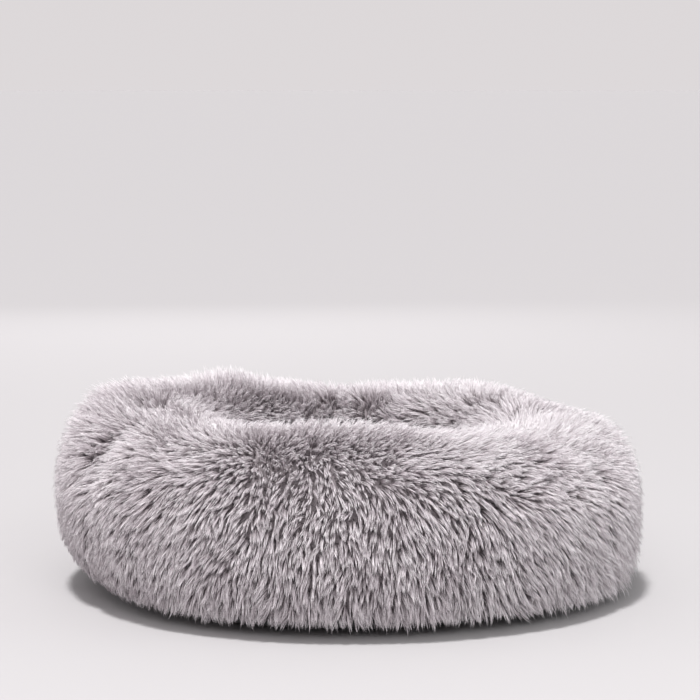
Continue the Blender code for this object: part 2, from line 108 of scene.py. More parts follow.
# Where the pile stands above or below its usual height: azimuth, section angle, their half widths, rise.
PILE_SWELLS = (
    (172.0, 66.0, 20.0, 22.0, 0.0185),
    (6.0, 48.0, 14.0, 20.0, 0.0080),
    (128.0, 86.0, 12.0, 20.0, 0.0110),
    (26.0, 70.0, 13.0, 26.0, -0.0100),
    (334.0, -36.0, 24.0, 20.0, 0.0180),
    (200.0, -32.0, 28.0, 38.0, -0.0220),
    (285.0, -42.0, 34.0, 16.0, 0.0090),
)
# The fur of each panel is this many pieces.
SECTORS = 7
# A strand's stations from root to tip, and the width of the three-sided ring at all but the last.
SIDES = 3
STATIONS = np.array([0.0, 0.40, 0.80, 1.0])
STATION_WIDTH = np.array([0.80, 1.0, 0.92])
RINGS = len(STATION_WIDTH)
# The middle of the whorl in the pile, as azimuth and section angle, and its radius.
WHORL = (238.5, 69.0)
WHORL_REACH = 0.060

UP = np.array([0.0, 0.0, 1.0])


def smooth(t):
    t = np.clip(t, 0.0, 1.0)
    return t * t * (3 - 2 * t)


def unit(vectors):
    return vectors / np.maximum(np.linalg.norm(vectors, axis=-1, keepdims=True), 1e-12)


def dot(a, b):
    return np.sum(a * b, -1, keepdims=True)


def signed_power(value, power):
    return np.sign(value) * np.abs(value) ** power


def turn_from(azimuth, centre):
    """Signed degrees from a centre azimuth."""
    return (azimuth - centre + 180) % 360 - 180


def bell(value, centre, half_width):
    """A smooth hump, 1 at its centre."""
    return np.exp(-(((value - centre) / half_width) ** 2))


def bell_round(azimuth, centre, half_width):
    """A smooth hump round the ring, 1 at its centre azimuth."""
    return bell(turn_from(azimuth, centre), 0.0, half_width)


def patch(azimuth, angle, centre, at, half_turn, half_angle):
    """A smooth hump over a patch of the ring, 1 at its middle."""
    away = turn_from(azimuth, centre) / half_turn
    return np.exp(-(away**2) - ((angle - at) / half_angle) ** 2)


def on_azimuth(azimuth, radius, height):
    turn = np.radians(azimuth)
    height = np.broadcast_to(height, np.shape(radius * turn))
    return np.stack([radius * np.cos(turn), radius * np.sin(turn), height], -1)


def round_way(azimuth):
    """The level direction round the ring at an azimuth."""
    turn = np.radians(azimuth)
    return np.stack([-np.sin(turn), np.cos(turn), 0 * turn], -1)


def spun(azimuths, profile):
    """A grid of azimuths, radii and points from a profile of (radius, height) turned about the middle."""
    azimuth, radius = np.meshgrid(azimuths, profile[:, 0], indexing="ij")
    return azimuth, radius, on_azimuth(azimuth, radius, profile[:, 1])


def wave_noise(places, scale, seed, waves=14):
    """Smooth noise about -1 to 1 at points in space, made of a few plane waves of about that scale."""
    rng = np.random.default_rng(seed)
    total = np.zeros(places.shape[:-1])
    for _ in range(waves):
        direction = unit(rng.normal(size=3))
        wave = 2 * np.pi / scale * rng.uniform(0.6, 1.6)
        total += np.sin(places @ direction * wave + rng.uniform(0, 2 * np.pi))
    return total / math.sqrt(waves / 2) / 1.6


def wave_field(places, scale, seed):
    """A smooth random direction at points in space."""
    return np.stack([wave_noise(places, scale, seed + i) for i in range(3)], 1)


# --- Places on the bed ---


def crest_height(azimuth):
    height = np.full(np.shape(azimuth), RING_CREST_Z)
    for centre, half_width, rise in CREST_LUMPS:
        height = height + rise * bell_round(azimuth, centre, half_width)
    return height


def dent(azimuth, angle):
    """How far the seams and puckers draw the stuffed ring in."""
    depth = np.zeros(np.shape(azimuth))
    for seam in SEAMS.values():
        depth = depth + SEAM_DEPTH * bell_round(azimuth, seam, SEAM_HALF_WIDTH)
    for *place, deep in PUCKERS:
        depth = depth + deep * patch(azimuth, angle, *place)
    angle = (angle + 90) % 360 - 90
    return depth * smooth((angle + 25) / 30) * smooth((200 - angle) / 30)


def ring_surface(azimuth, angle, offset):
    """Points on the ring from arrays of azimuth and section angle in degrees."""
    azimuth, angle = np.broadcast_arrays(np.asarray(azimuth, float), np.asarray(angle, float))
    across, up = np.cos(np.radians(angle)), np.sin(np.radians(angle))
    fullness = np.where(across > 0, 0.1 + 0.4 * np.cos(np.radians(azimuth)), 0.0)
    lower = LOWER_POWER + fullness * np.clip(np.max(offset) / 0.015, 0.0, 1.0)
    power = 2 / np.where(up > 0, UPPER_POWER, lower)
    half = np.where(up > 0, crest_height(azimuth) - RING_MID_Z, RING_MID_Z - RING_BOTTOM_Z)
    offset = offset - dent(azimuth, angle)
    radius = RING_MID_R + signed_power(across, power) * (RING_HALF_WIDTH + offset)
    height = RING_MID_Z + signed_power(up, power) * (half + offset)
    return on_azimuth(azimuth, radius, height)


def plain_ring_point(angle):
    """(radius, height) of the ring lining's section where it has no lump or dent."""
    across, up = math.cos(math.radians(angle)), math.sin(math.radians(angle))
    radius = RING_MID_R + signed_power(across, 2 / LOWER_POWER) * RING_HALF_WIDTH
    return np.array([radius, RING_MID_Z + signed_power(up, 2 / LOWER_POWER) * (RING_MID_Z - RING_BOTTOM_Z)])


def plain_ring_out(angle):
    """Outward direction of that section, as a (radius, height) pair."""
    along = plain_ring_point(angle + 0.5) - plain_ring_point(angle - 0.5)
    return unit(np.array([along[1], -along[0]]))


WALL_FOOT = plain_ring_point(ZIP_ANGLE)
WALL_RISE = unit(plain_ring_point(ZIP_ANGLE + 2) - plain_ring_point(ZIP_ANGLE - 2))
WALL_OUT = np.array([WALL_RISE[1], -WALL_RISE[0]])


def wall_surface(azimuth, along, offset):
    """Points on the straight low wall."""
    radius = WALL_FOOT[0] + WALL_RISE[0] * along + WALL_RISE[1] * offset
    height = WALL_FOOT[1] + WALL_RISE[1] * along - WALL_RISE[0] * offset
    azimuth, radius, height = np.broadcast_arrays(azimuth, radius, height)
    return on_azimuth(azimuth, radius, height)


def wall_angle(along):
    return ZIP_ANGLE + np.degrees(along / RING_HALF_WIDTH)


def cover_surface(azimuth, angle, offset):
    """Points on the rim's cover: the ring, running into the straight low wall."""
    along = np.radians(angle - ZIP_ANGLE) * RING_HALF_WIDTH
    share = smooth((WALL_START - angle) / WALL_BLEND)[..., None]
    return ring_surface(azimuth, angle, offset) * (1 - share) + wall_surface(azimuth, along, offset) * share


def low_angle(azimuth):
    """Where the rim's fur ends: at the sewn seam in front, clear of the zip behind."""
    front = np.clip(-np.sin(np.radians(azimuth)) / math.sin(math.radians(6)), 0, 1)
    return wall_angle(REAR_LOW_EDGE + (FRONT_LOW_EDGE - REAR_LOW_EDGE) * front)


def pad_height(radius):
    inside = np.maximum(0, 1 - (np.minimum(radius, PAD_R) / PAD_R) ** PAD_POWER)
    return PAD_MID_Z + (PAD_TOP_Z - PAD_MID_Z) * inside ** (1 / PAD_POWER)


def pile_height(azimuth, angle):
    """How far the tips stand off the backing."""
    height = np.full(np.shape(azimuth), PILE)
    for *place, rise in PILE_SWELLS:
        height = height + rise * patch(azimuth, angle, *place)
    return height


# --- Making meshes ---

# The share of the UV square's height that each face of a skin takes, and where its edges lie.
SKIN_UV = 0.48
EDGE_UV = (0.492, 0.492, 0.506, 0.506)


def link(name, data):
    """A new object in the scene."""
    made = bpy.data.objects.new(name, data)
    bpy.context.scene.collection.objects.link(made)
    return made


def add(mesh, material, node):
    """A piece of the cover, named as its mesh, that stands for a CAD node."""
    made = link(mesh.name, mesh)
    mesh.materials.append(material)
    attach(made, "cover")
    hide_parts(node)
    return made


def mesh_from(name, points, faces, corner_uv=None):
    """A mesh from an array of points and a list of arrays of corners, one array for each face size."""
    mesh = bpy.data.meshes.new(name)
    points = np.ascontiguousarray(points, np.float32).reshape(-1, 3)
    mesh.vertices.add(len(points))
    mesh.vertices.foreach_set("co", points.ravel())
    corners = np.concatenate([f.ravel() for f in faces]).astype(np.int32)
    sizes = np.concatenate([np.full(len(f), f.shape[1], np.int32) for f in faces])
    starts = np.concatenate([[0], np.cumsum(sizes)[:-1]]).astype(np.int32)
    mesh.loops.add(len(corners))
    mesh.loops.foreach_set("vertex_index", corners)
    mesh.polygons.add(len(sizes))
    mesh.polygons.foreach_set("loop_start", starts)
    mesh.polygons.foreach_set("use_smooth", np.ones(len(sizes), bool))
    if corner_uv is not None:
        layer = mesh.uv_layers.new(name="OFBake")
        layer.data.foreach_set("uv", np.ascontiguousarray(corner_uv, np.float32).ravel())
    mesh.update(calc_edges=True)
    mesh.validate()
    return mesh


def grid_corners(rows, columns, closed_rows, closed_columns):
    """Corner indices of a grid's quads, with their grid cells."""
    i = np.arange(rows if closed_rows else rows - 1)
    j = np.arange(columns if closed_columns else columns - 1)
    i, j = (x.ravel() for x in np.meshgrid(i, j, indexing="ij"))
    here, beyond, next_j = i * columns, (i + 1) % rows * columns, (j + 1) % columns
    return np.stack([here + j, beyond + j, beyond + next_j, here + next_j], -1), i, j


def cell_uv(i, j, rows, columns, share=1.0):
    """UV corners of grid cells, over the lowest share of the square."""
    u = np.stack([i, i + 1, i + 1, i], -1) / rows
    v = np.stack([j, j, j + 1, j + 1], -1) / columns * share
    return np.stack([u, v], -1)


def shell_mesh(name, outer, inner, closed_rows=False, closed_columns=False, hole=None):
    """A closed skin between two grids of points. hole is a span of rows and of columns left open."""
    rows, columns = outer.shape[:2]
    quads, i, j = grid_corners(rows, columns, closed_rows, closed_columns)
    if hole is not None:
        in_rows = (i >= hole[0][0]) & (i < hole[0][1])
        in_columns = (j >= hole[1][0]) & (j < hole[1][1])
        kept = ~(in_rows & in_columns)
        quads, i, j = quads[kept], i[kept], j[kept]
    count = rows * columns
    first = quads.ravel()
    following = np.roll(quads, -1, 1).ravel()
    on_edge = ~np.isin(first * count + following, following * count + first)
    p, q = first[on_edge], following[on_edge]
    walls = np.stack([q, p, p + count, q + count], 1)
    skin_uv = cell_uv(i, j, rows, columns, SKIN_UV)
    place = np.arange(len(walls))[:, None] / max(1, len(walls)) + np.zeros(4)
    edge_uv = np.stack([place, np.zeros(place.shape) + EDGE_UV], -1)
    uv = np.concatenate([skin_uv + (0, 0.01), (skin_uv + (0, 0.51))[:, ::-1], edge_uv])
    points = np.concatenate([outer.reshape(-1, 3), inner.reshape(-1, 3)])
    return mesh_from(name, points, [quads, quads[:, ::-1] + count, walls], uv)


def tube_mesh(name, path, radius, sides, reference):
    """A round tube along a path, closed at its ends. reference is any direction across the path."""
    tangent = unit(np.gradient(path, axis=0))
    side = unit(reference - dot(reference, tangent) * tangent)[:, None]
    across = np.cross(tangent, side[:, 0])[:, None]
    turns = (2 * np.pi * np.arange(sides) / sides)[None, :, None]
    points = path[:, None] + radius * (side * np.cos(turns) + across * np.sin(turns))
    quads, i, j = grid_corners(len(path), sides, False, True)
    last = (len(path) - 1) * sides
    ends = np.stack([np.arange(sides), last + np.arange(sides)[::-1]])
    uv = cell_uv(i, j, len(path), sides, 0.98).reshape(-1, 2)
    return mesh_from(name, points, [quads, ends], np.concatenate([uv, np.full((2 * sides, 2), 0.995)]))


def ringed_mesh(name, rings):
    """Many small closed forms, from points in an array of forms, rings along each, and places round it."""
    count, stations, sides = rings.shape[:3]
    quads, _, _ = grid_corners(stations, sides, False, True)
    base = (np.arange(count) * stations * sides)[:, None]
    sides_of_all = (base[:, :, None] + quads[None]).reshape(-1, 4)
    last = (stations - 1) * sides
    caps = np.concatenate([base + np.arange(sides)[::-1], base + last + np.arange(sides)])
    return mesh_from(name, rings, [sides_of_all[:, ::-1], caps[:, ::-1]])


def stitches_mesh(name, starts, ends, out, radius):
    """Short rounded threads lying from starts to ends, bowed slightly along out."""
    stations = np.array([0.0, 0.12, 0.5, 0.88, 1.0])
    width = np.array([0.35, 0.85, 1.0, 0.85, 0.35]) * radius
    bow = np.array([-0.7, 0.1, 0.35, 0.1, -0.7]) * radius
    side = unit(np.cross(unit(ends - starts), out))
    rings = []
    for station, reach, rise in zip(stations, width, bow):
        middle = starts + (ends - starts) * station + out * rise
        turns = [2 * np.pi * k / 6 for k in range(6)]
        around = [middle + side * (reach * math.cos(t)) + out * (reach * math.sin(t)) for t in turns]
        rings.append(np.stack(around, 1))
    return ringed_mesh(name, np.stack(rings, 1))


# --- Materials ---


def new_material(name, roughness, metallic=0.0, colour=None, sheen=0.0):
    made = bpy.data.materials.new(name)
    made.use_nodes = True
    shader = made.node_tree.nodes["Principled BSDF"]
    shader.inputs["Roughness"].default_value = roughness
    shader.inputs["Metallic"].default_value = metallic
    shader.inputs["Sheen Weight"].default_value = sheen
    if colour is not None:
        shader.inputs["Base Color"].default_value = (*colour, 1.0)
    return made, made.node_tree, shader


def ramp(tree, source, *stops):
    """Colours read from source by (place, colour) stops."""
    node = tree.nodes.new("ShaderNodeValToRGB")
    elements = node.color_ramp.elements
    while len(elements) < len(stops):
        elements.new(0.5)
    for element, (place, colour) in zip(elements, stops):
        element.position = place
        element.color = (*colour, 1.0)
    tree.links.new(source, node.inputs[0])
    return node.outputs[0]


def tint(tree, shader, source, *stops):
    tree.links.new(ramp(tree, source, *stops), shader.inputs["Base Color"])


def object_place(tree):
    """The object's own metres."""
    return tree.nodes.new("ShaderNodeTexCoord").outputs["Object"]


def noise(tree, scale, detail=3.0):
    node = tree.nodes.new("ShaderNodeTexNoise")
    node.inputs["Scale"].default_value = scale
    node.inputs["Detail"].default_value = detail
    tree.links.new(object_place(tree), node.inputs["Vector"])
    return node.outputs["Fac"]


def maths(tree, operation, *values):
    node = tree.nodes.new("ShaderNodeMath")
    node.operation = operation
    for socket, value in zip(node.inputs, values):
        if isinstance(value, (int, float)):
            socket.default_value = value
        else:
            tree.links.new(value, socket)
    return node.outputs[0]


def bump(tree, shader, height, distance):
    node = tree.nodes.new("ShaderNodeBump")
    node.inputs["Distance"].default_value = distance
    node.inputs["Strength"].default_value = 1.0
    tree.links.new(height, node.inputs["Height"])
    tree.links.new(node.outputs[0], shader.inputs["Normal"])


def mottled_material(name, roughness, dark, light, scale, detail=3.0, metallic=0.0, sheen=0.0):
    """A material whose colour drifts softly between dark and light, with the noise that it drifts by."""
    made, tree, shader = new_material(name, roughness, metallic, sheen=sheen)
    mottle = noise(tree, scale, detail)
    tint(tree, shader, mottle, (0.3, dark), (0.7, light))
    return made, tree, shader, mottle


def weave(tree, *directions):
    """A plain weave, 0 to 1, from two pairs of a running coordinate and its number of threads."""
    threads = [maths(tree, "MULTIPLY", place, number) for place, number in directions]
    waves = [maths(tree, "SINE", maths(tree, "MULTIPLY", count, math.pi)) for count in threads]
    return maths(tree, "MULTIPLY_ADD", maths(tree, "MULTIPLY", *waves), 0.5, 0.5)


def split(tree, vector):
    node = tree.nodes.new("ShaderNodeSeparateXYZ")
    tree.links.new(vector, node.inputs[0])
    return node.outputs["X"], node.outputs["Y"], node.outputs["Z"]


def bake_coordinates(tree):
    uv = tree.nodes.new("ShaderNodeUVMap")
    uv.uv_map = "OFBake"
    return split(tree, uv.outputs[0])[:2]


def fur_material():
    """Each tuft's tone runs along U, with painted light on parts of the rim; root to tip runs along V, darker
    at the root as painted shade deep in the pile.
    """
    made, tree, shader = new_material("shaggy_fur_painted_shade_and_light", 0.40)
    tuft, along = bake_coordinates(tree)
    # Darker towards the root: painted shade deep in the pile, between the tufts.
    depth = ramp(
        tree,
        along,
        (0.0, (0.26, 0.222, 0.234)),
        (0.35, (0.66, 0.605, 0.625)),
        (0.7, (0.88, 0.835, 0.855)),
        (1.0, (0.95, 0.92, 0.935)),
    )
    tone = ramp(tree, tuft, (0.0, (0.66, 0.625, 0.645)), (0.5, (0.93, 0.905, 0.92)), (1.0, (1.0, 1.0, 1.0)))
    mix = tree.nodes.new("ShaderNodeMix")
    mix.data_type = "RGBA"
    mix.blend_type = "MULTIPLY"
    mix.inputs[0].default_value = 1.0
    tree.links.new(depth, mix.inputs[6])
    tree.links.new(tone, mix.inputs[7])
    tree.links.new(mix.outputs[2], shader.inputs["Base Color"])
    return made


def backing_material():
    """The knitted ground that the pile grows from, coloured dark as painted shade in the gaps between tufts.
    """
    # Dark as painted shade, so that bare spots between tufts read as shadow.
    dark, light = (0.20, 0.172, 0.183), (0.31, 0.275, 0.287)
    made, tree, shader, mottle = mottled_material("fur_backing_painted_shade", 0.9, dark, light, 420.0)
    bump(tree, shader, mottle, 0.0004)
    return made


def oxford_material():
    """Dark basket weave with a thin matt coating."""
    made, tree, shader = new_material("oxford_cloth", 0.7, sheen=0.15)
    thread = 0.0011
    x, y, _ = split(tree, object_place(tree))
    height = weave(tree, (x, 1 / thread), (y, 1 / thread))
    mixed = maths(tree, "MULTIPLY_ADD", noise(tree, 60.0, 5.0), 0.5, height)
    tint(tree, shader, mixed, (0.3, (0.020, 0.020, 0.022)), (1.0, (0.052, 0.052, 0.057)))
    bump(tree, shader, height, 0.00025)
    return made


def tape_material(name, length, width):
    """Grey woven tape whose threads follow its length and width."""
    made, tree, shader = new_material(name, 0.75, sheen=0.2)
    thread = 0.00045
    u, v = bake_coordinates(tree)
    height = weave(tree, (u, length / thread), (v, width / SKIN_UV / thread))
    colour = (0.16, 0.155, 0.16)
    dark, light = (tuple(c * share for c in colour) for share in (0.72, 1.18))
    tint(tree, shader, height, (0.15, dark), (0.85, light))
    bump(tree, shader, height, 0.00018)
    return made


def lining_material():
    """Pale non-woven cloth with its embossed dots and a faint mottle."""
    dark, light = (0.66, 0.66, 0.635), (0.76, 0.76, 0.74)
    made, tree, shader, _ = mottled_material("non_woven_lining", 0.85, dark, light, 45.0, 6.0, sheen=0.1)
    dots = tree.nodes.new("ShaderNodeTexVoronoi")
    dots.inputs["Scale"].default_value = 620.0
    dots.inputs["Randomness"].default_value = 0.15
    tree.links.new(object_place(tree), dots.inputs["Vector"])
    bump(tree, shader, dots.outputs["Distance"], 0.00022)
    return made


def fibre_material():
    """Loose crimped polyester fibre."""
    dark, light = (0.78, 0.78, 0.77), (0.90, 0.90, 0.89)
    made, tree, shader, _ = mottled_material("hollow_fibre", 0.8, dark, light, 90.0, 4.0, sheen=0.3)
    bump(tree, shader, noise(tree, 900.0, 6.0), 0.0009)
    return made


def nickel_material(name):
    """Satin nickel plate with faint rubbing marks."""
    dark, light = (0.52, 0.51, 0.49), (0.60, 0.59, 0.57)
    made, tree, shader, _ = mottled_material(name, 0.3, dark, light, 160.0, metallic=1.0)
    rubbed = noise(tree, 700.0, 5.0)
    rough = tree.nodes.new("ShaderNodeMapRange")
    rough.inputs["To Min"].default_value = 0.22
    rough.inputs["To Max"].default_value = 0.42
    tree.links.new(rubbed, rough.inputs["Value"])
    tree.links.new(rough.outputs[0], shader.inputs["Roughness"])
    bump(tree, shader, rubbed, 0.00003)
    return made


def thread_material(name, colour):
    """Twisted thread: a fine mottle stands for its plies."""
    made, tree, shader = new_material(name, 0.65, sheen=0.2)
    plies = noise(tree, 2600.0, 2.0)
    tint(tree, shader, plies, (0.35, tuple(c * 0.75 for c in colour)), (0.65, colour))
    bump(tree, shader, plies, 0.0001)
    return made


def label_material():
    made, tree, shader = new_material("label_satin", 0.42, sheen=0.2)
    ribs = maths(tree, "SINE", maths(tree, "MULTIPLY", bake_coordinates(tree)[1], 900.0))
    tint(tree, shader, ribs, (0.2, (0.76, 0.76, 0.74)), (0.8, (0.84, 0.84, 0.82)))
    bump(tree, shader, ribs, 0.00005)
    return made


FUR = fur_material()
GROUND_PAINTED_SHADE = backing_material()
OXFORD = oxford_material()
LINING_CLOTH = lining_material()
FIBREFILL = fibre_material()
COIL = mottled_material("nylon_coil", 0.38, (0.085, 0.085, 0.09), (0.12, 0.12, 0.125), 500.0)[0]
RUBBER = mottled_material("grip_rubber", 0.55, (0.012, 0.012, 0.013), (0.022, 0.022, 0.024), 900.0)[0]
GREY_THREAD = thread_material("grey_thread", (0.30, 0.29, 0.295))
WHITE_THREAD = thread_material("pale_thread", (0.62, 0.60, 0.60))

# --- Cloth ---

CLOTH_FRAMES = 16


def settle_cloth(points, pinned, slack, pressure, reach):
    """Fills a pinned sheet with Blender's Cloth and returns how far each point moved, none by over reach.

    points is a grid closed round its rows, pinned a grid of true or false, and slack the spare share of
    the cloth's length.
    """
    rows, columns = points.shape[:2]
    quads, _, _ = grid_corners(rows, columns, True, False)
    sheet = link("cloth_sheet", mesh_from("cloth_sheet", points, [quads]))
    group = sheet.vertex_groups.new(name="pinned")
    group.add(np.flatnonzero(pinned.ravel()).tolist(), 1.0, "REPLACE")
    cloth = sheet.modifiers.new("Cloth", "CLOTH")
    settings = cloth.settings
    settings.quality = 6
    settings.mass = 0.3
    settings.tension_stiffness = 14
    settings.compression_stiffness = 14
    settings.shear_stiffness = 5
    settings.bending_stiffness = 0.6
    settings.vertex_group_mass = "pinned"
    settings.shrink_min = -slack
    settings.use_pressure = True
    settings.uniform_pressure_force = pressure
    settings.effector_weights.gravity = 0
    cloth.collision_settings.use_collision = False
    cloth.collision_settings.use_self_collision = False
    cloth.point_cache.frame_start = 1
    cloth.point_cache.frame_end = CLOTH_FRAMES
    for step in range(1, CLOTH_FRAMES + 1):
        bpy.context.scene.frame_set(step)
    filled = np.zeros(rows * columns * 3, np.float32)
    evaluated = sheet.evaluated_get(bpy.context.evaluated_depsgraph_get())
    evaluated.data.vertices.foreach_get("co", filled)
    bpy.data.objects.remove(sheet)
    moved = filled.reshape(points.shape) - points
    size = np.linalg.norm(moved, axis=-1, keepdims=True)
    return moved * np.minimum(1.0, reach / np.maximum(size, 1e-9))


def grid_normals(points):
    """Outward directions of a grid closed round its rows."""
    wrapped = np.concatenate([points[-1:], points, points[:1]])
    along = np.gradient(wrapped, axis=0)[1:-1]
    return unit(np.cross(along, np.gradient(points, axis=1)))


def keep_clear(points, moved, normals, inward):
    """Lets the cloth move out freely, but in by no more than inward."""
    out = dot(moved, normals)
    return points + moved + normals * (np.maximum(out, -inward) - out)


def read_grid(grid, row, column):
    """Values of a grid closed round its rows, at fractional rows and columns."""
    rows, columns = grid.shape[:2]
    low_row = np.floor(row).astype(int)
    row_share = (row - low_row)[:, None]
    low_row, high_row = low_row % rows, (low_row + 1) % rows
    low_column = np.clip(np.floor(column).astype(int), 0, columns - 2)
    column_share = np.clip(column - low_column, 0, 1)[:, None]
    low = grid[low_row, low_column] * (1 - row_share) + grid[high_row, low_column] * row_share
    high = grid[low_row, low_column + 1] * (1 - row_share) + grid[high_row, low_column + 1] * row_share
    return low * (1 - column_share) + high * column_share


# The rim's cover: one row for each azimuth, and columns from its low edge to the seat seam.
RIM_ROWS, RIM_COLUMNS = 240, 60


def make_rim_grid():
    azimuth = np.arange(RIM_ROWS)[:, None] * 360 / RIM_ROWS + np.zeros((1, RIM_COLUMNS))
    share = np.linspace(0, 1, RIM_COLUMNS)[None]
    angle = low_angle(azimuth) * (1 - share) + SEAT_SEAM * share
    points = cover_surface(azimuth, angle, COVER_GAP + BACKING)
    normals = grid_normals(points)
    pinned = np.zeros((RIM_ROWS, RIM_COLUMNS), bool)
    pinned[:, :2] = pinned[:, -2:] = True
    for seam in SEAMS.values():
        pinned[round(seam / 360 * RIM_ROWS)] = True
    moved = settle_cloth(points, pinned, slack=0.05, pressure=3.0, reach=0.0065)
    return keep_clear(points, moved, normals, 0.0003)


RIM_GRID = make_rim_grid()
RIM_NORMALS = grid_normals(RIM_GRID)


def on_rim(grid, azimuth, angle):
    """Values of the rim's grid of points or normals, on the settled cover."""
    low = low_angle(azimuth)
    row = (azimuth % 360) / 360 * RIM_ROWS
    column = (angle - low) / (SEAT_SEAM - low) * (RIM_COLUMNS - 1)
    return read_grid(grid, row, column)


# --- The fur ---

TRACK_STEPS = 8


def tuft_tracks(normals, lean, droop, rise):
    """Bent lines of tufts about 1 long, as an array of steps, tufts and coordinates.

    lean is each tuft's comb along the surface, droop how readily it hangs, and rise how far its tip
    stands off the backing.
    """
    hang = -UP - (normals @ -UP)[:, None] * normals
    track = np.zeros((TRACK_STEPS + 1, len(normals), 3))
    for i in range(TRACK_STEPS):
        t = (i + 0.5) / TRACK_STEPS
        heading = normals * (1.0 - 0.56 * t) + hang * droop * (0.14 + 0.96 * t) + lean * (0.4 + 0.7 * t)
        track[i + 1] = track[i] + unit(heading) / TRACK_STEPS
    risen = dot(track, normals)
    return track + normals * (risen * (rise / np.maximum(risen[-1], 0.2)) - risen)


def strand_faces(total, per_strand):
    """Quads and triangles of strands made of three-sided rings and a tip."""
    base = (np.arange(total) * per_strand)[:, None]
    quads, triangles = [], []
    for s in range(SIDES):
        following = (s + 1) % SIDES
        for start in range(0, (RINGS - 1) * SIDES, SIDES):
            a, b = start + s, start + following
            quads.append(base + np.array([a, b, b + SIDES, a + SIDES]))
        last = (RINGS - 1) * SIDES
        triangles.append(base + np.array([last + s, last + following, per_strand - 1]))
    root_cap = base + np.arange(SIDES)[::-1]
    return [np.concatenate(quads), np.concatenate(triangles + [root_cap])]


def tuft_mesh(name, roots, normals, lean, lengths, stand, gather, floor_room, tone_and_painted_light, rng):
    """The tapered strands of many tufts.

    stand is how far a tuft's tip stands off the backing, gather how closely its strands meet there,
    floor_room the lowest place its tip may reach, and tone_and_painted_light its tone, 0 dark to 1 light,
    which on the rim also holds painted light.
    """
    droop = rng.uniform(0.8, 1.2, len(roots))[:, None]
    track = tuft_tracks(normals, lean, droop, (stand / lengths)[:, None])
    drop = -track[-1, :, 2]
    room = np.maximum(roots[:, 2] - floor_room, 0.002) / np.maximum(drop, 1e-3)
    lengths = np.where(drop > 0, np.minimum(lengths, np.maximum(room, 0.006)), lengths)
    tuft = np.repeat(np.arange(len(roots)), STRANDS)
    total = len(tuft)
    out = normals[tuft]
    length = lengths[tuft] * rng.uniform(0.62, 1.08, total)
    frame_a = unit(np.cross(out, rng.normal(size=(total, 3))))
    frame_b = np.cross(out, frame_a)
    turn = rng.uniform(0, 2 * np.pi, total)
    reach = TUFT_SPREAD * np.sqrt(rng.uniform(0.03, 1, total))
    away = frame_a * (np.cos(turn) * reach)[:, None] + frame_b * (np.sin(turn) * reach)[:, None]
    curl = rng.normal(size=(total, 3)) * CURL
    spine = np.zeros((total, len(STATIONS), 3))
    for k, t in enumerate(STATIONS):
        at = t * TRACK_STEPS
        low = min(int(at), TRACK_STEPS - 1)
        along = (track[low] * (1 - at + low) + track[low + 1] * (at - low))[tuft]
        closing = 1 - gather[tuft, None] * t**0.9
        spine[:, k] = roots[tuft] + along * length[:, None] + away * closing + curl * math.sin(2.6 * t)
    tangent = unit(np.gradient(spine, axis=1))
    side = unit(rng.normal(size=(total, 3)))
    per_strand = RINGS * SIDES + 1
    points = np.zeros((total, per_strand, 3))
    for k, width in enumerate(STATION_WIDTH):
        sideways = unit(side - dot(side, tangent[:, k]) * tangent[:, k])
        across = np.cross(tangent[:, k], sideways)
        for s in range(SIDES):
            around = 2 * np.pi * s / SIDES
            radial = sideways * math.cos(around) + across * math.sin(around)
            points[:, k * SIDES + s] = spine[:, k] + radial * (STRAND_WIDTH / 2 * width)
    points[:, -1] = spine[:, -1]
    uv = np.zeros((total, per_strand, 2))
    uv[:, :, 0] = np.clip(tone_and_painted_light[tuft] + rng.normal(size=total) * 0.30, 0.01, 0.99)[:, None]
    uv[:, :, 0] += np.append(np.tile(np.arange(SIDES) - 1, RINGS), 0) * 0.0015
    uv[:, :, 1] = np.append(np.repeat(STATIONS[:RINGS], SIDES), 1.0) * 0.98 + 0.01
    faces = strand_faces(total, per_strand)
    corners = np.concatenate([f.ravel() for f in faces])
    return mesh_from(name, points, faces, uv.reshape(-1, 2)[corners])


def rim_roots(first, last, rng):
    """Azimuths and section angles of evenly spread tufts between two azimuths."""
    front_low = wall_angle(FRONT_LOW_EDGE)
    angles = np.linspace(front_low, SEAT_SEAM, 1500)
    line = ring_surface(270.0, angles, COVER_GAP + BACKING)
    length = np.concatenate([[0], np.cumsum(np.linalg.norm(np.diff(line, axis=0), axis=1))])
    rows = int(length[-1] / TUFT_SPACING)
    azimuths, section_angles = [], []
    for row in range(rows):
        angle = np.interp((row + 0.5) / rows * length[-1], length, angles)
        radius = np.hypot(*ring_surface(270.0, angle, COVER_GAP + BACKING)[:2])
        number = max(3, int(radius * math.radians(last - first) / TUFT_SPACING))
        shuffle = np.arange(number) + rng.uniform(0.05, 0.95, number)
        azimuths.append(first + shuffle * (last - first) / number)
        spread = rng.uniform(-0.55, 0.55, number) * TUFT_SPACING / length[-1] * (SEAT_SEAM - front_low)
        section_angles.append(angle + spread)
    azimuth, angle = np.concatenate(azimuths), np.concatenate(section_angles)
    kept = (angle > low_angle(azimuth)) & (angle < SEAT_SEAM)
    return azimuth[kept], angle[kept]


WHORL_POINT = ring_surface(*WHORL, COVER_GAP + BACKING)


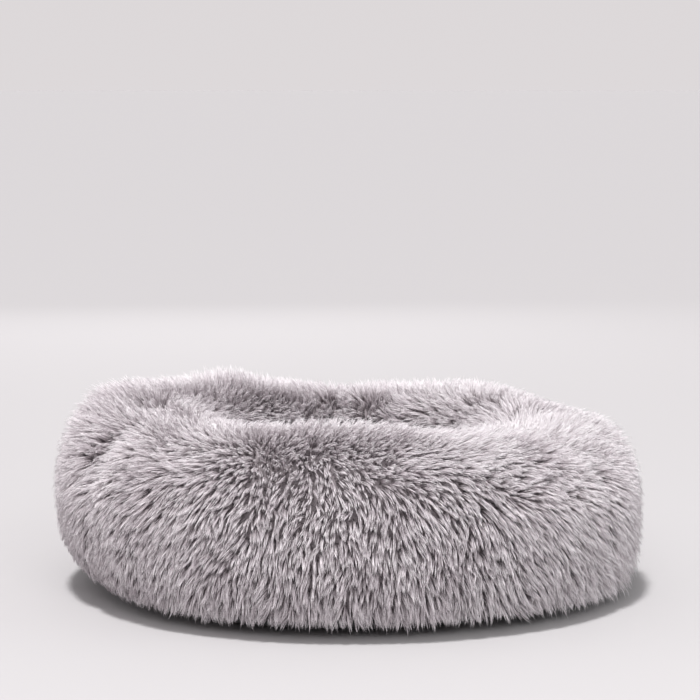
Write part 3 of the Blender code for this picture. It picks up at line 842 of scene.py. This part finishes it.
def comb(roots, normals, azimuth, angle, rng):
    """Which way each rim tuft leans along the surface."""
    # Loose locks, large and small, and single stray tufts.
    lean = wave_field(roots, 0.085, 11) * 0.26
    lean += wave_field(roots, 0.030, 21) * 0.10
    lean += rng.normal(size=(len(roots), 3)) * 0.13
    lean += wave_field(roots, 0.016, 31) * (0.11 + 0.17 * bell(angle, -38, 24))[:, None]
    # Away from the middle of the whorl.
    away = roots - WHORL_POINT
    whorl = 0.52 * bell(np.linalg.norm(away, axis=1), 0.0, WHORL_REACH)
    lean += away / WHORL_REACH * whorl[:, None]
    # Down over the front shoulder.
    outward = on_azimuth(azimuth, 1.0, 0.0)
    slope = np.radians(angle)[:, None]
    fall = outward * np.sin(slope) - UP * np.cos(slope)
    shoulder = 0.50 * bell(angle, 76, 24)
    lean += fall * (shoulder * bell_round(azimuth, 276.0, 60))[:, None]
    # Apart at the upper part of each seam.
    round_it = round_way(azimuth)
    for seam in SEAMS.values():
        metres = np.radians(turn_from(azimuth, seam)) * WALL_R
        parting = 0.32 * np.sign(metres) * bell(metres, 0.0, 0.013) * smooth((angle - 36) / 30)
        parting *= smooth((124 - angle) / 26)
        lean += round_it * parting[:, None]
    # To the right along the front crest, then off the crest to each side, swirling round the bed.
    crest = bell(angle, 68, 38) * bell_round(azimuth, 288.0, 34)
    lean += np.array([0.42, 0.0, 0.0]) * crest[:, None]
    side = np.clip((112 - angle) / 22, -0.3, 0.8)
    lean += outward * (0.34 * bell(angle, 92, 26) * side)[:, None]
    swirl = 0.40 * bell(angle, 104, 22) * (1 - 0.6 * bell_round(azimuth, 40.0, 40))
    lean += round_it * swirl[:, None]
    return lean - dot(lean, normals) * normals


def rim_pile(roots, azimuth, angle, rng):
    """Each rim tuft's length, stand, gather, floor room, and tone with painted light, as tuft_mesh takes
    them.
    """
    count = len(roots)
    near_seat = np.clip((SEAT_SEAM - angle) / 26, 0.3, 1)
    front = bell_round(azimuth, 274.0, 44)
    lengths = TUFT_LENGTH * rng.uniform(0.84, 1.12, count) * (1 + 0.10 * wave_noise(roots, 0.018, 51))
    lengths *= near_seat
    # The fringe nearly reaches the floor in front, and stays above the zip behind.
    behind = smooth((np.sin(np.radians(azimuth)) + 0.28) / 0.30)
    floor_room = 0.009 - 0.003 * bell_round(azimuth, 335.0, 24) + rng.uniform(0, 0.009, count) * (1 - behind)
    floor_room += 0.021 * behind
    # Tone: painted light, lighter towards the right side (+X) as if lit from there, plus a random drift.
    tone_and_painted_light = 0.55 + 0.12 * np.cos(np.radians(azimuth)) + 0.18 * wave_noise(roots, 0.12, 41)
    # Painted light: a bright glow round the middle of the whorl.
    tone_and_painted_light += 0.34 * bell(np.linalg.norm(roots - WHORL_POINT, axis=1), 0.0, 0.045)
    # Painted light: a lighter band along the front below the crest, where the parting falls in shade.
    tone_and_painted_light += 0.26 * bell(angle, 66, 16) * front
    tone_and_painted_light = np.clip(tone_and_painted_light + rng.normal(size=count) * 0.16, 0.02, 0.98)
    stand = pile_height(azimuth, angle) * rng.uniform(0.86, 1.08, count) * near_seat
    stand *= 1 - 0.30 * front * bell(angle, 66, 18)
    gather = 0.26 + 0.32 * (bell_round(azimuth, 275.0, 42) * bell(angle, 12, 42)) - 0.18 * bell(angle, 80, 28)
    gather = np.clip(gather + rng.normal(size=count) * 0.08, 0.08, 0.9)
    return lengths, stand, gather, floor_room, tone_and_painted_light


def make_rim_fur():
    for number, (panel, start, end) in enumerate(PANELS):
        step = (end - start) / SECTORS
        for sector in range(SECTORS):
            rng = np.random.default_rng(100 + 10 * number + sector)
            azimuth, angle = rim_roots(start + sector * step, start + (sector + 1) * step, rng)
            roots = on_rim(RIM_GRID, azimuth, angle)
            normals = unit(on_rim(RIM_NORMALS, azimuth, angle))
            lean = comb(roots, normals, azimuth, angle, rng)
            pile = rim_pile(roots, azimuth, angle, rng)
            mesh = tuft_mesh(f"rim_fur_{panel}_{sector + 1}", roots, normals, lean, *pile, rng)
            add(mesh, FUR, f"rim_panel_{panel}")


# The knitted ground is this thick, in the CAD's backing.
KNIT = BACKING - 0.0004


def make_rim_backing():
    """The knitted ground under the pile, one piece for each panel."""
    for panel, start, end in PANELS:
        azimuth, share = np.meshgrid(
            np.linspace(start + 0.1, end - 0.1, 121), np.linspace(0, 1, 90), indexing="ij"
        )
        low = low_angle(azimuth)
        places = azimuth.ravel(), (low + (SEAT_SEAM - low) * share).ravel()
        normals = unit(on_rim(RIM_NORMALS, *places)).reshape(*azimuth.shape, 3)
        outer = on_rim(RIM_GRID, *places).reshape(normals.shape) - normals * 0.0002
        mesh = shell_mesh(f"rim_backing_{panel}", outer, outer - normals * KNIT)
        made = add(mesh, GROUND_PAINTED_SHADE, f"rim_panel_{panel}")


# --- The seat ---

SEAT_ROWS, SEAT_COLUMNS = 96, 22
SEAT_R = 0.136
SEAT_PIECES = 4


def make_seat_grid():
    azimuth, radius = np.meshgrid(
        np.arange(SEAT_ROWS) * 360 / SEAT_ROWS, np.linspace(0.0004, SEAT_R, SEAT_COLUMNS), indexing="ij"
    )
    points = on_azimuth(azimuth, radius, pad_height(radius) + COVER_GAP)
    up = np.zeros(points.shape) + UP
    pinned = np.zeros((SEAT_ROWS, SEAT_COLUMNS), bool)
    pinned[:, :2] = True
    # The columns run inwards here, so that the cloth's outside faces up.
    moved = settle_cloth(points[:, ::-1], pinned, slack=0.03, pressure=2.0, reach=0.004)[:, ::-1]
    moved[:, 0] = moved[:, 0].mean(0)
    return keep_clear(points, moved, up, 0.0002)


def seat_roots(grid, rng):
    """Roots, normals and radii of evenly spread tufts on the seat, and the piece that each is in."""
    side = int(2 * SEAT_R / SEAT_SPACING)
    cell_x, cell_y = np.meshgrid(np.arange(side), np.arange(side))
    x = (cell_x.ravel() + rng.uniform(0, 1, side * side)) / side * 2 * SEAT_R - SEAT_R
    y = (cell_y.ravel() + rng.uniform(0, 1, side * side)) / side * 2 * SEAT_R - SEAT_R
    kept = np.hypot(x, y) < SEAT_R
    x, y = x[kept], y[kept]
    radius = np.hypot(x, y)
    row = (np.degrees(np.arctan2(y, x)) % 360) / 360 * SEAT_ROWS
    roots = read_grid(grid, row, radius / SEAT_R * (SEAT_COLUMNS - 1))
    slope = np.maximum((pad_height(radius + 0.0005) - pad_height(radius - 0.0005)) / 0.001, -1.2)
    safe = np.maximum(radius, 1e-6)
    normals = unit(np.stack([-slope * x / safe, -slope * y / safe, np.ones(len(x))], 1))
    return roots, normals, radius, (row / SEAT_ROWS * SEAT_PIECES).astype(int) % SEAT_PIECES


def make_seat():
    grid = make_seat_grid()
    mesh = shell_mesh("seat_backing", grid[:, ::-1], (grid - UP * KNIT)[:, ::-1], True)
    backing = add(mesh, GROUND_PAINTED_SHADE, "seat_panel")
    rng = np.random.default_rng(7)
    roots, normals, radius, piece = seat_roots(grid, rng)
    lean = wave_field(roots, 0.07, 31) * 0.55
    lean += rng.normal(size=(len(roots), 3)) * 0.14
    lean += np.array([0.12, -0.3, 0.0])
    lean -= dot(lean, normals) * normals
    lengths = TUFT_LENGTH * 0.86 * rng.uniform(0.86, 1.12, len(roots))
    lengths *= np.clip((0.15 - radius) / 0.03, 0.4, 1)
    tone_and_painted_light = np.clip(0.5 + rng.normal(size=len(roots)) * 0.18, 0.02, 0.98)
    for number in range(SEAT_PIECES):
        kept = piece == number
        tufts = (each[kept] for each in (roots, normals, lean, lengths, lengths * 0.72))
        gather, floor_room = np.full(kept.sum(), 0.32), np.full(kept.sum(), 0.04)
        mesh = tuft_mesh(f"seat_fur_{number + 1}", *tufts, gather, floor_room, tone_and_painted_light[kept], rng)
        add(mesh, FUR, "seat_panel")


make_rim_backing()
make_rim_fur()
make_seat()

# --- The base ---

BASE_CLOTH = 0.0006


def full_turn(count):
    return np.linspace(0, 360, count, endpoint=False)


def make_base():
    """The dark base cloth with its grip dots."""
    edge = [plain_ring_point(a) + plain_ring_out(a) * COVER_GAP for a in (-76.0, -72.0, -67.0, -62.0, -58.0)]
    walls = [WALL_FOOT + WALL_RISE * along + WALL_OUT * COVER_GAP for along in (-0.0145, -0.010, -0.0052)]
    flat_r = edge[0][0] - 0.012
    flat = [(r, 0.0012) for r in np.linspace(0.00002, flat_r, 40)]
    profile = np.array(flat + [tuple(p) for p in edge + walls])
    _, radius, inner = spun(full_turn(240), profile)
    crease = 0.00022 * wave_noise(inner, 0.05, 51) * smooth((flat_r - radius) / 0.05)
    inner[..., 2] += np.maximum(crease, -0.0003)
    slope = np.gradient(profile, axis=0)
    _, _, down = spun(full_turn(240), unit(np.stack([slope[:, 1], -slope[:, 0]], 1)))
    outer = inner + down * BASE_CLOTH
    mesh = shell_mesh("base_cloth", outer[:, ::-1], inner[:, ::-1], True)
    base = add(mesh, OXFORD, "base_panel")
    make_grip_dots(flat_r - 0.003)


def make_grip_dots(reach):
    """Low rubber domes on the underside, on a triangular grid."""
    pitch, radius, sides = 0.0125, 0.0016, 10
    i, j = np.meshgrid(np.arange(-30, 31), np.arange(-30, 31))
    x = (i + 0.5 * (j % 2)) * pitch
    y = j * pitch * math.sqrt(3) / 2
    kept = np.hypot(x, y) < reach
    x, y = x[kept][:, None], y[kept][:, None]
    turns = 2 * np.pi * np.arange(sides) / sides
    rings = []
    for share, z in ((1.0, 0.00075), (0.94, 0.0003), (0.6, 0.00004)):
        round_x, round_y = x + np.cos(turns) * radius * share, y + np.sin(turns) * radius * share
        rings.append(np.stack([round_x, round_y, np.full(round_x.shape, z)], -1))
    add(ringed_mesh("base_grip_dots", np.stack(rings, 1)), RUBBER, "base_panel")


make_base()

# --- Seams and zip ---

# The length of the low wall's front half or rear half, and where the stitches lie on its tapes.
HALF_ROUND = math.radians(176.8) * WALL_R
STITCH_OFFSET = 0.00195


def wall_strip(mesh_name, span, azimuths, offsets, columns=9):
    """A woven strip along the low wall, with rounded edges."""
    azimuth, place = np.meshgrid(azimuths, np.linspace(*span, columns), indexing="ij")
    edge = np.minimum(place - span[0], span[1] - place)
    thin = 0.00016 * np.exp(-edge / 0.0003)
    outer = wall_surface(azimuth, place, offsets[1] - thin)
    return shell_mesh(mesh_name, outer, wall_surface(azimuth, place, offsets[0] + thin))


def wall_stitches(name, azimuths, along, offset, length, node):
    """A row of stitches along the low wall."""
    half = np.degrees(length / 2 / WALL_R)
    middles = wall_surface(azimuths, along, offset)
    out = unit(wall_surface(azimuths, along, offset + 0.001) - middles)
    starts, ends = (wall_surface(azimuths + turn, along, offset) for turn in (-half, half))
    add(stitches_mesh(name, starts, ends, out, 0.00022), GREY_THREAD, node)


def make_zip():
    """Two tapes with their coils and sewing, and a patch over each end."""
    near, far, width = 0.0009, 0.012, 0.0111
    stitch, pitch, sewing_line = 0.0023, 0.0031, 0.0102
    azimuths = np.linspace(1.6, 178.4, 361)
    sewn = np.arange(2.2, 178.0, math.degrees(pitch / WALL_R))
    for side, sign in (("lower", -1), ("upper", 1)):
        node = f"zip_tape_{side}"
        span = sorted((sign * near, sign * far))
        material = tape_material(f"zip_tape_weave_{side}", HALF_ROUND, width)
        add(wall_strip(f"zip_tape_strip_{side}", span, azimuths, TAPE_OFFSETS), material, node)
        make_coil(side, sign)
        wall_stitches(f"zip_sewing_{side}", sewn, sign * sewing_line, STITCH_OFFSET, stitch, node)
    patch_span, patch_offsets = (-0.0046, 0.0062), (0.0021, 0.0027)
    for end, first, last in (("right", 1.7, 3.4), ("left", 176.7, 178.3)):
        node = f"zip_end_patch_{end}"
        mesh = wall_strip(f"zip_patch_{end}", patch_span, np.linspace(first, last, 9), patch_offsets)
        patched = add(mesh, OXFORD, node)
        bars = np.linspace(first + 0.25, last - 0.25, 7)
        wall_stitches(f"zip_patch_tack_{end}", bars, 0.0008, 0.00275, 0.0009, node)
        patched.data.set_sharp_from_angle(angle=math.radians(60))


def make_coil(side, sign):
    """The wound nylon coil and its filler cord, with its turns' heads facing the other tape."""
    node = f"zip_coil_{side}"
    pitch, per_turn, lift = 0.0015, 12, 0.0030
    turns = int(math.radians(CHAIN_END - CHAIN_START) * WALL_R / pitch)
    phase = np.arange(turns * per_turn + 1) / per_turn * 2 * np.pi
    azimuth = np.linspace(CHAIN_START, CHAIN_END, len(phase))
    near, far = 0.00072, 0.00240
    middle, half = (near + far) / 2, (far - near) / 2
    along = sign * (middle - half * signed_power(np.cos(phase), 0.8))
    offset = lift + 0.00058 * signed_power(np.sin(phase), 0.8)
    path = wall_surface(azimuth, along, offset)
    add(tube_mesh(f"zip_teeth_{side}", path, 0.00030, 6, round_way(azimuth)), COIL, node)
    filler = wall_surface(azimuth[::per_turn], sign * middle, lift)
    add(tube_mesh(f"zip_filler_{side}", filler, 0.00026, 6, UP), GREY_THREAD, node)


def make_metal():
    """The CAD slider, pull and stops, with eased edges and satin nickel plate."""
    stops = ("zip_bottom_stop", "zip_top_stop_lower", "zip_top_stop_upper")
    for name, ease in (("zip_slider", 0.00022), ("zip_pull", 0.00028), *((stop, 0.00025) for stop in stops)):
        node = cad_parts[name]
        node.data.materials.clear()
        node.data.materials.append(nickel_material(f"satin_nickel_{name}"))
        eased = node.modifiers.new("eased_edges", "BEVEL")
        eased.width = ease
        eased.segments = 3
        eased.limit_method = "ANGLE"
        eased.angle_limit = math.radians(35)


def make_seam_tapes():
    """Tapes behind the sewn front of the base seam and behind the rim's seams, with their sewing."""
    stitch, pitch, sewing_line = 0.0025, 0.0034, -0.0052
    node = "base_seam_tape"
    material = tape_material("base_tape_weave", HALF_ROUND, 0.020)
    azimuths = np.linspace(178.8, 361.2, 361)
    add(wall_strip("base_tape", (-0.014, 0.0100), azimuths, TAPE_OFFSETS, 16), material, node)
    sewn = np.arange(182.2, 358.0, math.degrees(pitch / WALL_R))
    wall_stitches("base_tape_sewing", sewn, sewing_line, STITCH_OFFSET, stitch, node)
    angles = np.arange(-26, 190, 2.4)
    for place, seam in SEAMS.items():
        node = f"rim_seam_tape_{place}"
        across, along = np.linspace(seam - 2.4, seam + 2.4, 13), np.linspace(-30, 195, 120)
        azimuth, angle = np.meshgrid(across, along, indexing="ij")
        outer, inner = ring_surface(azimuth, angle, 0.0014), ring_surface(azimuth, angle, 0.0008)
        material = tape_material(f"rim_tape_weave_{place}", 0.020, 0.44)
        add(shell_mesh(f"rim_tape_{place}", outer, inner), material, node)
        for letter, row in (("a", -1.5), ("b", 1.5)):
            starts, ends = (ring_surface(seam + row, angles + turn, 0.00155) for turn in (-0.8, 0.8))
            out = unit(ring_surface(seam + row, angles, 0.003) - ring_surface(seam + row, angles, 0.001))
            mesh = stitches_mesh(f"rim_tape_sewing_{place}_{letter}", starts, ends, out, 0.00018)
            add(mesh, GREY_THREAD, node)


def make_binding():
    """Folded tape over the raw edges at the seat seam, slightly rippled."""
    # Its section, as section angle and offset, out along its upper side and back along its inside.
    outside = [(210.0, 0.0008), (214.0, 0.0008), (218.0, 0.0008), (218.3, 0.0022)]
    outside += [(218.3, 0.0054), (218.0, 0.0068), (214.0, 0.0068), (210.0, 0.0068)]
    inside = [(210.0, 0.0061), (214.0, 0.0061), (217.3, 0.0061), (217.5, 0.0050)]
    inside += [(217.5, 0.0026), (217.3, 0.0015), (214.0, 0.0015), (210.0, 0.0015)]
    points = [[ring_surface(azimuth, *leg) for leg in outside + inside] for azimuth in full_turn(240)]
    points = np.array(points)
    points[..., 2] += 0.00012 * wave_noise(points, 0.02, 61)
    rows, columns = points.shape[:2]
    quads, i, j = grid_corners(rows, columns, True, True)
    mesh = mesh_from("seat_binding", points, [quads[:, ::-1]], cell_uv(i, j, rows, columns, 0.96)[:, ::-1])
    add(mesh, tape_material("binding_weave", 0.9, 0.05), "seat_seam_binding")


def make_label():
    """The blank satin label inside the cover at the back, curling a little."""
    azimuth, angle = np.meshgrid(np.linspace(87, 93, 25), np.linspace(-66, -52, 17), indexing="ij")
    curl = 0.00012 * wave_noise(on_azimuth(azimuth, WALL_R, angle / 900), 0.02, 71)
    outer, inner = (ring_surface(azimuth, angle, offset + curl) for offset in (0.00095, 0.0006))
    label = add(shell_mesh("blank_label", outer, inner), label_material(), "care_label")


make_zip()
make_metal()
make_seam_tapes()
make_binding()
make_label()

# --- The inserts ---

# The filling slits' first and last azimuths, and how many degrees their threads stop short of them.
RING_SLIT = (246, 294)
PAD_SLIT = (66, 114)
SLIT_END = 2
# Rows round each insert, points of the ring's section up to its slit, and of the pad's half section.
RING_ROWS, PAD_ROWS = 240, 180
RING_TO_SLIT, PAD_TO_SLIT = 59, 20


def slit_hole(slit, rows, to_slit):
    """The span of rows and of columns that a filling slit leaves open."""
    return [round(end / 360 * rows) for end in slit], (to_slit - 1, to_slit)


def slit_thread(name, slit, radius, height, reach, node):
    """The zigzag thread that closes a filling slit, with soft turns at its stitch holes."""
    azimuths = np.linspace(slit[0] + SLIT_END, slit[1] - SLIT_END, 41)
    path = []
    for i, azimuth in enumerate(azimuths[:-1]):
        for t in np.linspace(0, 1, 7)[:-1]:
            side = math.cos(math.pi * (i + t))
            turn = azimuth + (azimuths[i + 1] - azimuth) * t
            path.append(on_azimuth(turn, radius, height + reach * side))
    path = np.array(path)
    mesh = tube_mesh(name, path, 0.00035, 8, unit(path * np.array([1, 1, 0])))
    add(mesh, WHITE_THREAD, node)


def make_ring_insert():
    azimuths = full_turn(RING_ROWS)
    slit_low, slit_high = 179.68, 180.26
    angles = np.concatenate([np.linspace(-174, slit_low, RING_TO_SLIT), np.linspace(slit_high, 183.0, 3)])
    azimuth, angle = np.meshgrid(azimuths, angles, indexing="ij")
    turn = np.radians(azimuth)
    near_slit = bell(angle, 180, 16) * bell_round(azimuth, 270.0, 28)
    gathers = np.sin(turn * 130) * (bell(angle, 0, 9) + 0.6 * bell(angle, 180, 9)) * 0.00025
    creases = -0.0007 * near_slit * (0.5 + 0.5 * np.sin(turn * 90))
    soft = -0.0005 * (1 + wave_noise(ring_surface(azimuth, angle, 0.0), 0.06, 81))
    offset = np.minimum(0.0, gathers - 0.0003) + creases + soft
    outer, inner = ring_surface(azimuth, angle, offset), ring_surface(azimuth, angle, offset - LINING)
    hole = slit_hole(RING_SLIT, RING_ROWS, RING_TO_SLIT)
    mesh = shell_mesh("ring_case", outer, inner, True, True, hole)
    case = add(mesh, LINING_CLOTH, "ring_lining")
    azimuth, angle = np.meshgrid(azimuths, np.linspace(-180, 180, 60, endpoint=False), indexing="ij")
    base = ring_surface(azimuth, angle, 0.0)
    lumps = -0.0012 * (1 + wave_noise(base, 0.035, 82)) - 0.0006 * (1 + wave_noise(base, 0.012, 83))
    stuffing = ring_surface(azimuth, angle, lumps - LINING - FILLING_GAP - 0.0016)
    quads, i, j = grid_corners(*azimuth.shape, True, True)
    mesh = mesh_from("ring_stuffing", stuffing, [quads], cell_uv(i, j, *azimuth.shape))
    filling = add(mesh, FIBREFILL, "ring_filling")
    inner_r = RING_MID_R - RING_HALF_WIDTH - 0.0006
    slit_thread("ring_slit_stitch", RING_SLIT, inner_r, RING_MID_Z, 0.0042, "ring_slit_thread")


def pad_profile(inset):
    """Half section of the pad from its bottom centre round to its top centre, with its slit's edges."""
    share = 1 - inset / PAD_R
    low, high = PAD_MID_Z - PAD_BOTTOM_Z - inset, PAD_TOP_Z - inset - PAD_MID_Z
    angles = np.concatenate([np.linspace(-90, -0.35, PAD_TO_SLIT), np.linspace(0.25, 90, PAD_TO_SLIT)])
    across, up = np.cos(np.radians(angles)), np.sin(np.radians(angles))
    radius = PAD_R * share * np.maximum(across, 1e-6) ** (2 / PAD_POWER)
    height = PAD_MID_Z + signed_power(up, 2 / PAD_POWER) * np.where(up > 0, high, low)
    return np.stack([np.maximum(radius, 0.00002), height], -1)


def pad_skin(inset, seed, depth):
    """The pad's outside or a layer inset from it, softly lumpy and gathered at its edge seam."""
    azimuth, radius, points = spun(full_turn(PAD_ROWS), pad_profile(inset))
    soft = depth * (1 + wave_noise(points, 0.05, seed)) * smooth(radius / 0.02)
    soft = soft + 0.0002 * (1 + np.sin(np.radians(azimuth) * 96)) * bell(radius, PAD_R, 0.008)
    return points - unit(points - UP * PAD_MID_Z) * soft[..., None]


def make_pad_insert():
    outer, inner = pad_skin(0.0, 91, 0.0005), pad_skin(LINING, 91, 0.0005)
    hole = slit_hole(PAD_SLIT, PAD_ROWS, PAD_TO_SLIT)
    mesh = shell_mesh("pad_case", outer, inner, True, False, hole)
    case = add(mesh, LINING_CLOTH, "pad_lining")
    stuffing = pad_skin(LINING + FILLING_GAP + 0.0014, 92, 0.0011)
    rows, columns = stuffing.shape[:2]
    quads, i, j = grid_corners(rows, columns, True, False)
    first = np.arange(rows) * columns
    ends = np.stack([first[::-1], first + columns - 1])
    uv = np.concatenate([cell_uv(i, j, rows, columns, 0.98).reshape(-1, 2), np.full((2 * rows, 2), 0.995)])
    mesh = mesh_from("pad_stuffing", stuffing, [quads, ends], uv)
    filling = add(mesh, FIBREFILL, "pad_filling")
    slit_thread("pad_slit_stitch", PAD_SLIT, PAD_R + 0.0004, PAD_MID_Z, 0.0034, "pad_slit_thread")


make_ring_insert()
make_pad_insert()

# --- Stage, light and camera ---

PAPER = (0.462, 0.445, 0.452)
# The viewpoint fitted to the photograph, how many degrees it looks down, and its lens in millimetres.
CAMERA_PLACE = (0.0042, -3.0, 0.598)
CAMERA_DIP = 5.97
CAMERA_LENS = 129.3


def make_stage():
    """A pale paper floor that runs on to the horizon."""
    radii = np.array([0.001, 1.0, 2.0, 4.0, 8.0, 16.0, 40.0, 90.0, 400.0])
    _, _, points = spun(full_turn(96), np.stack([radii, 0 * radii], 1))
    quads, _, _ = grid_corners(*points.shape[:2], True, False)
    floor = link("studio_floor", mesh_from("studio_floor", points, [quads[:, ::-1]]))
    made, _, _ = new_material("studio_paper", 0.9, colour=PAPER)
    floor.data.materials.append(made)


def area_light(name, place, size, power, colour=(1, 1, 1)):
    """A softbox turned to the bed."""
    light = bpy.data.lights.new(name, "AREA")
    light.shape = "RECTANGLE"
    light.size, light.size_y = size
    light.energy = power
    light.color = colour
    made = link(name, light)
    made.location = place
    made.rotation_euler = (Vector((0, 0, 0.1)) - Vector(place)).to_track_quat("-Z", "Y").to_euler()


def overhead_light(power, spread, tilt, turn):
    """A soft light high above, wide enough to blur a shadow's edge."""
    light = bpy.data.lights.new("overhead_light", "SUN")
    light.energy = power
    light.angle = math.radians(spread)
    made = link("overhead_light", light)
    made.location = (0, 0, 3)
    made.rotation_euler = (math.radians(tilt), 0, math.radians(turn))


def make_world():
    """A pale studio all round, brightest at the horizon, where the backdrop is."""
    world = bpy.data.worlds.new("studio")
    bpy.context.scene.world = world
    world.use_nodes = True
    tree = world.node_tree
    height = split(tree, tree.nodes.new("ShaderNodeTexCoord").outputs["Generated"])[2]
    colour = ramp(
        tree,
        height,
        (0.0, (0.352, 0.336, 0.34)),
        (0.12, (0.345, 0.33, 0.334)),
        (0.24, (0.24, 0.233, 0.236)),
        (1.0, (0.28, 0.276, 0.28)),
    )
    background = tree.nodes["Background"].inputs
    tree.links.new(colour, background["Color"])
    background["Strength"].default_value = 2.06


def make_light():
    make_world()
    overhead_light(power=3.2, spread=7, tilt=14, turn=-26)
    area_light("front_softbox", (0.35, -3.0, 1.7), (2.0, 1.0), 42)
    area_light("right_softbox", (2.6, -0.6, 1.0), (1.4, 1.4), 7, (0.82, 1.0, 0.94))
    area_light("rear_softbox", (-0.4, 3.6, 1.2), (1.8, 1.0), 8)
    area_light("left_softbox", (-2.6, -0.2, 1.0), (1.2, 1.2), 6, (1.0, 0.97, 0.97))
    view = bpy.context.scene.view_settings
    view.view_transform = "Standard"
    view.look = "None"


def make_camera():
    camera = bpy.data.cameras.new("camera")
    camera.sensor_width = 36.0
    camera.lens = CAMERA_LENS
    camera.clip_end = 500.0
    made = link("camera", camera)
    made.location = CAMERA_PLACE
    made.rotation_euler = (math.radians(90 - CAMERA_DIP), 0, 0)
    bpy.context.scene.camera = made


make_stage()
make_light()
make_camera()
